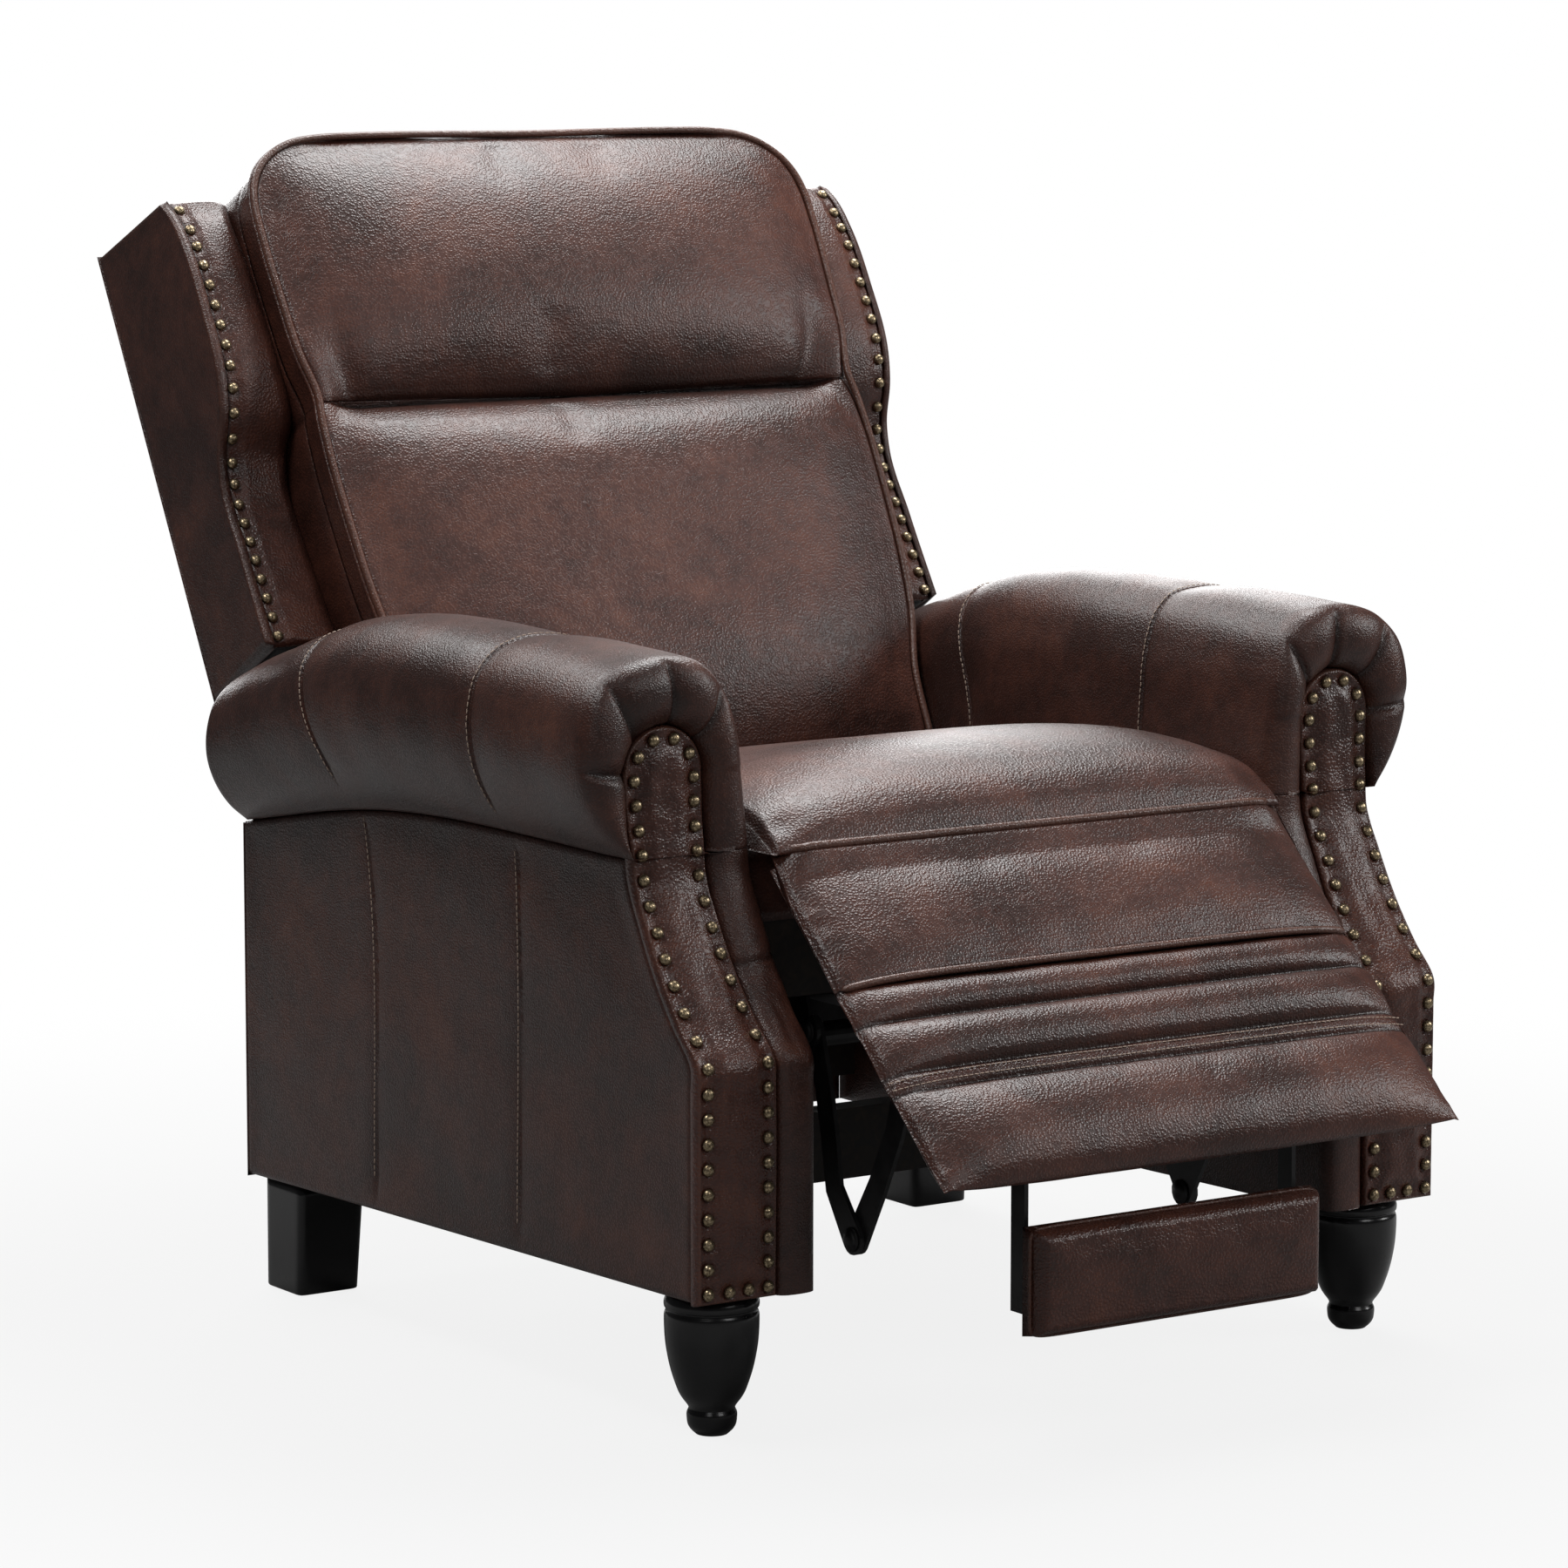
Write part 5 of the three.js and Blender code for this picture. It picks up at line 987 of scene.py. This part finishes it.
wing_nails, wing_dip = tilt(nail_places("right_wing_nails") - (0, *hinge), -back_lean), 2.4
inner_edge, front_line = half_at(wing_z) - 2.2, wing_front(wing_z)
top_rise = 10 / wing_deep * rise(600, wing_high, wing_z)
t = np.linspace(0, 1, 46)
wide = wing_out - inner_edge
face_x = inner_edge + wide * t
rounding = sum(depth * (1 - np.sqrt(1 - np.clip(1 - wide * share / width, 0, 1) ** 2))
               for depth, share, width in ((20, t, 26), (3, 1 - t, 4)))
tuck = 5 * sum(np.clip(1 - gap / 7, 0, 1) ** 2 for gap in (wing_high - wing_z, wing_z - wing_low))
dips = nail_dips(face_x, wing_z, wing_nails, wing_dip)
puff = 2.8 * np.sin(math.pi * np.clip(t * 1.15, 0, 1)) + 0.9 * crumple(face_x, wing_z, 61, 60)
face_y = (front_line + rounding - puff * rise(0, 0.12, t) * (1 - rise(0.72, 0.9, t))
          + dips + tuck)
face_y = np.maximum(face_y, front_line - 1.0)
wing_face = xyz(face_x, face_y, wing_z + top_rise * (face_y - front_line))
q = np.linspace(0, 1, 24)[1:]
outer_run = xyz(wing_out, face_y[:, -1:] + (wing_rear - face_y[:, -1:]) * q,
                wing_z + top_rise * q * wing_deep)
rear_run = xyz(wing_out - wide * (0.33, 0.66), wing_rear, wing_z + top_rise * wing_deep)
inner_run = xyz(inner_edge, wing_rear + (face_y[:, :1] - wing_rear) * (q - q[0]),
                wing_z + top_rise * wing_deep * (1 - q))
wing_grid = np.concatenate([wing_face, outer_run, rear_run, inner_run[:, :-1]], 1)
# Painted shade in the dips round the nails and along both edges of the face, and a paler band a
# third of the way across it.
wing_shade_and_paler_band = (-0.5 * np.clip(dips / wing_dip, 0, 1) + 0.2 * bell(t, 0.3, 0.2)
             - 0.6 * bell(t, 1.0, 0.05) - 0.5 * bell(t, 0, 0.1))
wing_free = (rise(0.02, 0.2, t) * rise(0.86, 0.68, t) * rise(1, 16, wing_z - wing_low)
             * rise(1, 16, wing_high - wing_z))
wing_grid = stuffed("wing", wing_grid, face_only(wing_free, wing_grid), rows=60, columns=60, cap=4)
p = steps(0, 13, 0.08, 1, 0.1, 49, 1)[:, None]
panel_z = wing_low - 8 * p + (wing_high - wing_low + 18 * p) * np.linspace(0, 1, 120)
panel_y = wing_front(np.clip(panel_z, wing_low, wing_high)) * (1 - p) + wing_rear * p
face = xyz(357, panel_y, panel_z)
near = edge_distance(face)
panel_grid = upholstered(face, (1, 0, 0), 8, 3.5,
                         0.6 * crumple(panel_y, panel_z, 63, 150) * rise(0, 20, near))
# Worn lighter on the folded edge, with a line of painted shade just inside it.
panel_wear_and_shade = 0.4 * bell(near, 2, 2) - 0.5 * bell(near, 6, 1.5)
face = plate((268, 4, 200.8), (84, 0, 0), (0, 104, -3), 20, 40)
dust_grid = upholstered(face, (0, 0, -1), 1.2, 1.2,
                        0.5 * crumple(face[..., 0], face[..., 1], 65, 30))
black_cloth = coated("black_cloth", (900.0, 2.0),
                     [(0.3, (0.006, 0.006, 0.006)), (0.7, (0.016, 0.015, 0.015))], (0.95, 0),
                     bump=(0.5, 0.0004))
for name, side in both_sides:
    skin(f"{name}_wing_hide", lean(wing_grid), "back", seat_hide, side,
         face_only(wing_shade_and_paler_band, wing_grid), stands_for=[f"{name}_wing_pad"])
    skin(f"{name}_wing_outer_hide", lean(panel_grid), "back", shaded_arm_hide, side,
         face_only(panel_wear_and_shade, panel_grid), stands_for=[f"{name}_wing_panel"])
    nailed(f"{name}_wing_nail_heads", wing_nails, wing_front, 0.6, "back", side,
           f"{name}_wing_nails", back_lean, hinge)
    skin(f"{name}_dust_cover", lean(dust_grid), "back", black_cloth, side)

# Seat cushion: a crowned block of foam in one hide, piped along its front edge and pinched in
# at its two front corners.
seat_half, seat_front, seat_rear, seat_low, seat_high = 262, -363, 115, 400.3, 462
board_front = -316
crown_at = [0, 0.015, 0.045, 0.1, 0.17, 0.24, 0.34, 0.445, 0.55, 0.655, 0.76, 0.865, 0.965, 1]
crown_up = [0.12, 0.33, 0.58, 0.82, 0.955, 1, 0.94, 0.8, 0.67, 0.545, 0.42, 0.25, 0.1, 0.03]
s = crowded(150)[:, None]
share = steps(0, 26, 0.1, 109, 1)
half = seat_half - 5 * np.sin(math.pi * share)
x, y = s * half, seat_front + (seat_rear - seat_front) * share
edge = half * (1 - np.abs(s))
corner_pinch = 4 * bell(np.hypot((np.abs(x) - 246) / 1.3, y + 346), 0, 15)
z = (seat_high + 64 * bend(crown_at, crown_up, share) * (1 - 0.42 * np.abs(s) ** 4)
     - 9 * (1 - rise(0, 9, edge)) ** 2 - corner_pinch)
z = z + rise(0, 40, y - seat_front) * (
    0.8 * crumple(x, y, 71, 190) + 0.4 * crumple(x, y, 73, 60) * rise(0.6, 1, np.abs(s)))
top = xyz(x, y, np.maximum(z, seat_high + 0.4))
q = np.linspace(0, 1, 8)[1:]
x, z = s * seat_half, top[:, -1:, 2]
seat_grid = np.concatenate([
    top, xyz(x, seat_rear, z + (seat_low - z) * q),
    xyz(x, board_front + (seat_rear - board_front) * np.linspace(1, 0, 30)[1:], seat_low),
    xyz(x, board_front, seat_low + 61.7 * q),
    xyz(x, board_front - 46.5 * np.linspace(0, 1, 12)[1:], seat_high)], 1)
# Painted shade in the pinched front corners and along the cushion's edges.
seat_shade = -0.9 * np.clip(corner_pinch / 9, 0, 1) - 0.4 * (1 - rise(0, 8, edge))
seat_free = rise(1, 20, edge) * rise(3, 30, y - seat_front) * rise(1, 20, seat_rear - y)
skin("seat_hide_cushion", stuffed("seat", seat_grid, face_only(seat_free, seat_grid)), "seat",
     seat_hide, rub=face_only(seat_shade, seat_grid), stands_for=["seat_cushion"])


def seat_edge(x, y, z):
    """A line across the seat's front edge that runs back and drops near both ends."""
    share = np.abs(x) / np.abs(x).max()
    return xyz(x, y + 16 * rise(0.90, 1.0, share) ** 1.3, z - 3.0 * rise(0.86, 1.0, share))


skin("seat_piping", tube(seat_edge(np.linspace(-258, 258, 130), -364.6, 467.5), 3.6, 12), "seat",
     seat_hide, rub=0.6)

# Leg panel: padding over a board, sewn across with one piped seam, one soft fold and a narrow
# double-stitched channel. Its far corners are drawn to a point.
leg_drop, fold, leg_half, leg_long = math.radians(43), (-363, 460), 262, 331


def lower(grid):
    """From the leg panel's own directions to the chair's: -Y runs down the panel, Z off it."""
    return tilt(grid, -leg_drop, fold)


def bells(at, places, width):
    """Bells of one width at several places, added up."""
    return sum(bell(at, place, width) for place in places)


run = steps(2, 1, 3, 1, 4.5, 1, 6.5, 1, 9, 1, 12, 1, 15, 35, 120, 1, 122, 45, 176, 1, 178, 59, 250,
            1, 253, 33, 318, 1, 321, 1, 324, 1, 326.5, 1, 328.5, 1, 330, 1, leg_long)
leg_face = np.array([
    [2, -13], [4, -7], [8, -2], [16, 2.5], [40, 6], [75, 7.2], [105, 6], [120, 3.2], [127, 0.2],
    [130.5, -4.5], [134, -1.5], [141, 2.5], [150, 4.6], [159, 3.2], [164.5, -1], [167.5, -6],
    [170.5, -1.5], [177, 5], [187, 9], [197, 9.8], [207, 7.6], [214, 3.4], [218.8, -3.6],
    [222, -0.8], [227.5, 0.6], [233, -0.8], [236.4, -3.8], [240.5, 1.6], [249, 6.2], [265, 9.8],
    [282, 10.6], [298, 9.0], [312, 5.2], [321, 0.5], [327, -6], [330, -11], [331, -15]])
s = signed(crowded(131), 0.92)[:, None]
near_side, side_fall, leg_x = leg_half * (1 - np.abs(s)), np.abs(s) ** 7, leg_half * s
z = (bend(leg_face[:, 0], leg_face[:, 1], run) * (1 - side_fall)
     - 9 * side_fall * (1 - 0.2 * rise(300, leg_long, run)) - 4 * (1 - rise(0, 8, near_side)) ** 2
     + 0.7 * crumple(run, near_side, 81, 26) * bell(near_side, 8, 16)
     + 0.8 * crumple(leg_x, run, 83, 110) * rise(0, 40, near_side)
     - 2.0 * bells(run, (130.5, 167.5, 219, 236.4), 9) * rise(20, 4, near_side))
top = xyz(leg_x, -run, z)
under = xyz(248 * s, board_front + 314 * np.linspace(0, 1, 26)[1:], -30.7)
q = np.linspace(0, 1, 7)[1:-1, None]
leg_grid = np.concatenate([top, top[:, -1:] + (under[:, :1] - top[:, -1:]) * q,
                           under, under[:, -1:] + (top[:, :1] - under[:, -1:]) * q], 1)
# Painted shade in the sewn seams and folds, and paler bands beside the channel's stitches and along
# the crest of the roll.
leg_shade_and_paler_bands = (0.45 * bells(run, (222.5, 232.5), 2.2) + 0.25 * bell(run, 190, 14)
            - bells(run, (130.5, 167.5, 218.8, 236.4), 2.6))[None]
sewn = bells(run, (130.5, 167.5, 218.8, 222, 227, 232, 236.4), 5)
leg_free = ((1 - np.clip(sewn, 0, 1)) * rise(0, 14, run) * rise(0, 12, leg_long - run)
            * rise(1, 16, near_side))
leg_grid = stuffed("leg", leg_grid, face_only(leg_free, leg_grid), rows=64, columns=80, cap=3)
skin("leg_panel_hide", lower(leg_grid), "leg_panel", seat_hide, rub=face_only(leg_shade_and_paler_bands, leg_grid),
     stands_for=["leg_pad"])
pipe_x = np.linspace(-259, 259, 130)
pipe_fall = (np.abs(pipe_x) / 259) ** 7
skin("leg_piping",
     lower(tube(xyz(pipe_x, -129.6, 1.6 * (1 - pipe_fall) - 9.5 * pipe_fall), 3.2, 12)),
     "leg_panel", seat_hide, rub=0.6)
for which, place in enumerate((224.2, 231.4)):
    stitched(f"leg_channel_stitches_{which}",
             lower(xyz(pipe_x, -place, 0.6 * (1 - pipe_fall) - 8.8 * pipe_fall)),
             tilt(np.array([0, 0, 1]), -leg_drop), "leg_panel", pitch=5.0)

# The panel's first hide is sewn under the seat's piping and bends over the fold. It leaves the
# seam in a soft curve and then lies on the panel as far as its piping.
laid = lower(leg_grid[:, :len(run)][:, (run > 25) & (run < 129.4)] + (0, 0, 0.9))
seam = seat_edge(259 * s[:, 0], -367.0, 465.3)
up_panel = unit(laid[:, 0] - laid[:, 2])
q = np.linspace(0, 1, 18, endpoint=False)[:, None]
curve = sum(point[:, None] * share for point, share in (
    (seam, (1 - q) ** 3), (seam + (0, -6, -1.5), 3 * q * (1 - q) ** 2),
    (laid[:, 0] + up_panel * 9, 3 * q ** 2 * (1 - q)), (laid[:, 0], q ** 3)))
over = np.concatenate([curve, laid], 1)
slope = unit(np.gradient(over, axis=1))
below = xyz(0, -slope[..., 2], slope[..., 1])
below *= np.sign(1e-9 - below[..., 2:])
fold_hide = skin("fold_hide", np.concatenate([over, (over + below * 0.7)[:, ::-1]], 1), None,
                 seat_hide)
tuple(metres(np.array([0, -367, 465.3])))
tuple(metres(lower(np.array([0.0, -26, 5]))))
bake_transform(fold_hide)

# Flipper: a narrow stuffed pad in one hide on its own board, with fine piping round its face.
# Two steel strips hang it from the end of the leg panel.
flip_pin = lower(np.array([0, -278, -57.7]))[1:]


def hang(grid):
    """From the flipper's own directions to the chair's: a quarter turn at its pin."""
    return tilt(grid, -math.pi / 2, flip_pin)


face = plate((-147, -141, 17.6), (294, 0, 0), (0, 89, 0), 110, 44)
near = edge_distance(face)
lift = (0.7 * crumple(face[..., 0], face[..., 1], 91, 70) + 1.2 * rise(0, 30, near)) * rise(
    0, 14, near)
flip_grid = upholstered(face, (0, 0, 1), 22.4, 11, lift)
flip_grid[:, face.shape[1]:, 0] *= 140.5 / 147
flip_worn, flip_free = (face_only(values, flip_grid)
                        for values in (0.35 * bell(near, 3, 3), rise(2, 16, near)))
flip_grid = stuffed("flipper", flip_grid, flip_free, rows=36, columns=36, cap=3)
skin("flipper_hide", hang(flip_grid), "flipper", front_hide, rub=flip_worn,
     stands_for=["flipper_pad"])
turn = np.linspace(0, 2 * math.pi, 240)
seam = xyz(146.6 * signed(np.cos(turn), 0.12), -96.5 + 44.2 * signed(np.sin(turn), 0.12), 27.0)
skin("flipper_piping", hang(tube(even(seam, 3)[0], 1.7, 8)), "flipper", front_hide, rub=0.5)

# Frame and mechanism: sawn hardwood boards, black-painted pressed steel and bright zigzag
# springs. Riveted pins hold the links, with a domed head outside and a washer under it.
painted = coated("painted_steel", (55.0, 5.0),
                 [(0.4, (0.008, 0.008, 0.0085)), (0.75, (0.022, 0.021, 0.021))], (0.36, 0.2),
                 bump=(0.3, 0.0003), grain=(320.0, 3.0), more={"Metallic": 0.1})
finishes = {
    # The sawn boards are coloured near-black: painted shade for the dark space under the seat where
    # they show.
    "frame_wood": coated("sawn_wood", (6.0, 6.0, (14.0, 3.0, 14.0), 1.2),
                         [(0.35, (0.010, 0.007, 0.006)), (0.55, (0.022, 0.015, 0.011)),
                          (0.72, (0.036, 0.024, 0.017))], (0.55, 0.2), bump=(0.4, 0.0005)),
    "black_steel": painted,
    "spring_steel": coated("bright_steel", (260.0, 4.0),
                           [(0.35, (0.20, 0.20, 0.21)), (0.7, (0.46, 0.46, 0.47))], (0.25, 0.2),
                           more={"Metallic": 1.0})}
for part in frame["record"]["subparts"]:
    if part["material_slot"] in finishes:
        node = frame["nodes"][part["node"]]
        node.data.materials.clear()
        node.data.materials.append(finishes[part["material_slot"]])
rivet = lathe([[0, -0.4], [9.5, -0.4], [10.5, 0.3], [10.2, 1.2], [8.0, 1.4], [7.6, 2.6],
               [6.0, 3.8], [3.4, 4.6], [0, 4.9]], 20)
plate_outer, drive_outer, link_inner = 180.5, 176.2, 166.9
drive_pivot, elbow_pin = (-290, 300), (-348, 134)
for name, side in both_sides:
    for label, x, pin, facing, body in (
            ("pivot", plate_outer, drive_pivot, 1, "seat"),
            ("elbow", drive_outer, elbow_pin, 1, f"{name}_drive"),
            ("elbow_inner", link_inner, elbow_pin, -1, f"{name}_drive")):
        axes = np.array([[[0, 1, 0], [0, 0, facing], [facing, 0, 0]]], float)
        many(f"{name}_{label}_rivet", rivet, np.array([[x, *pin]], float), axes, body, painted,
             side)
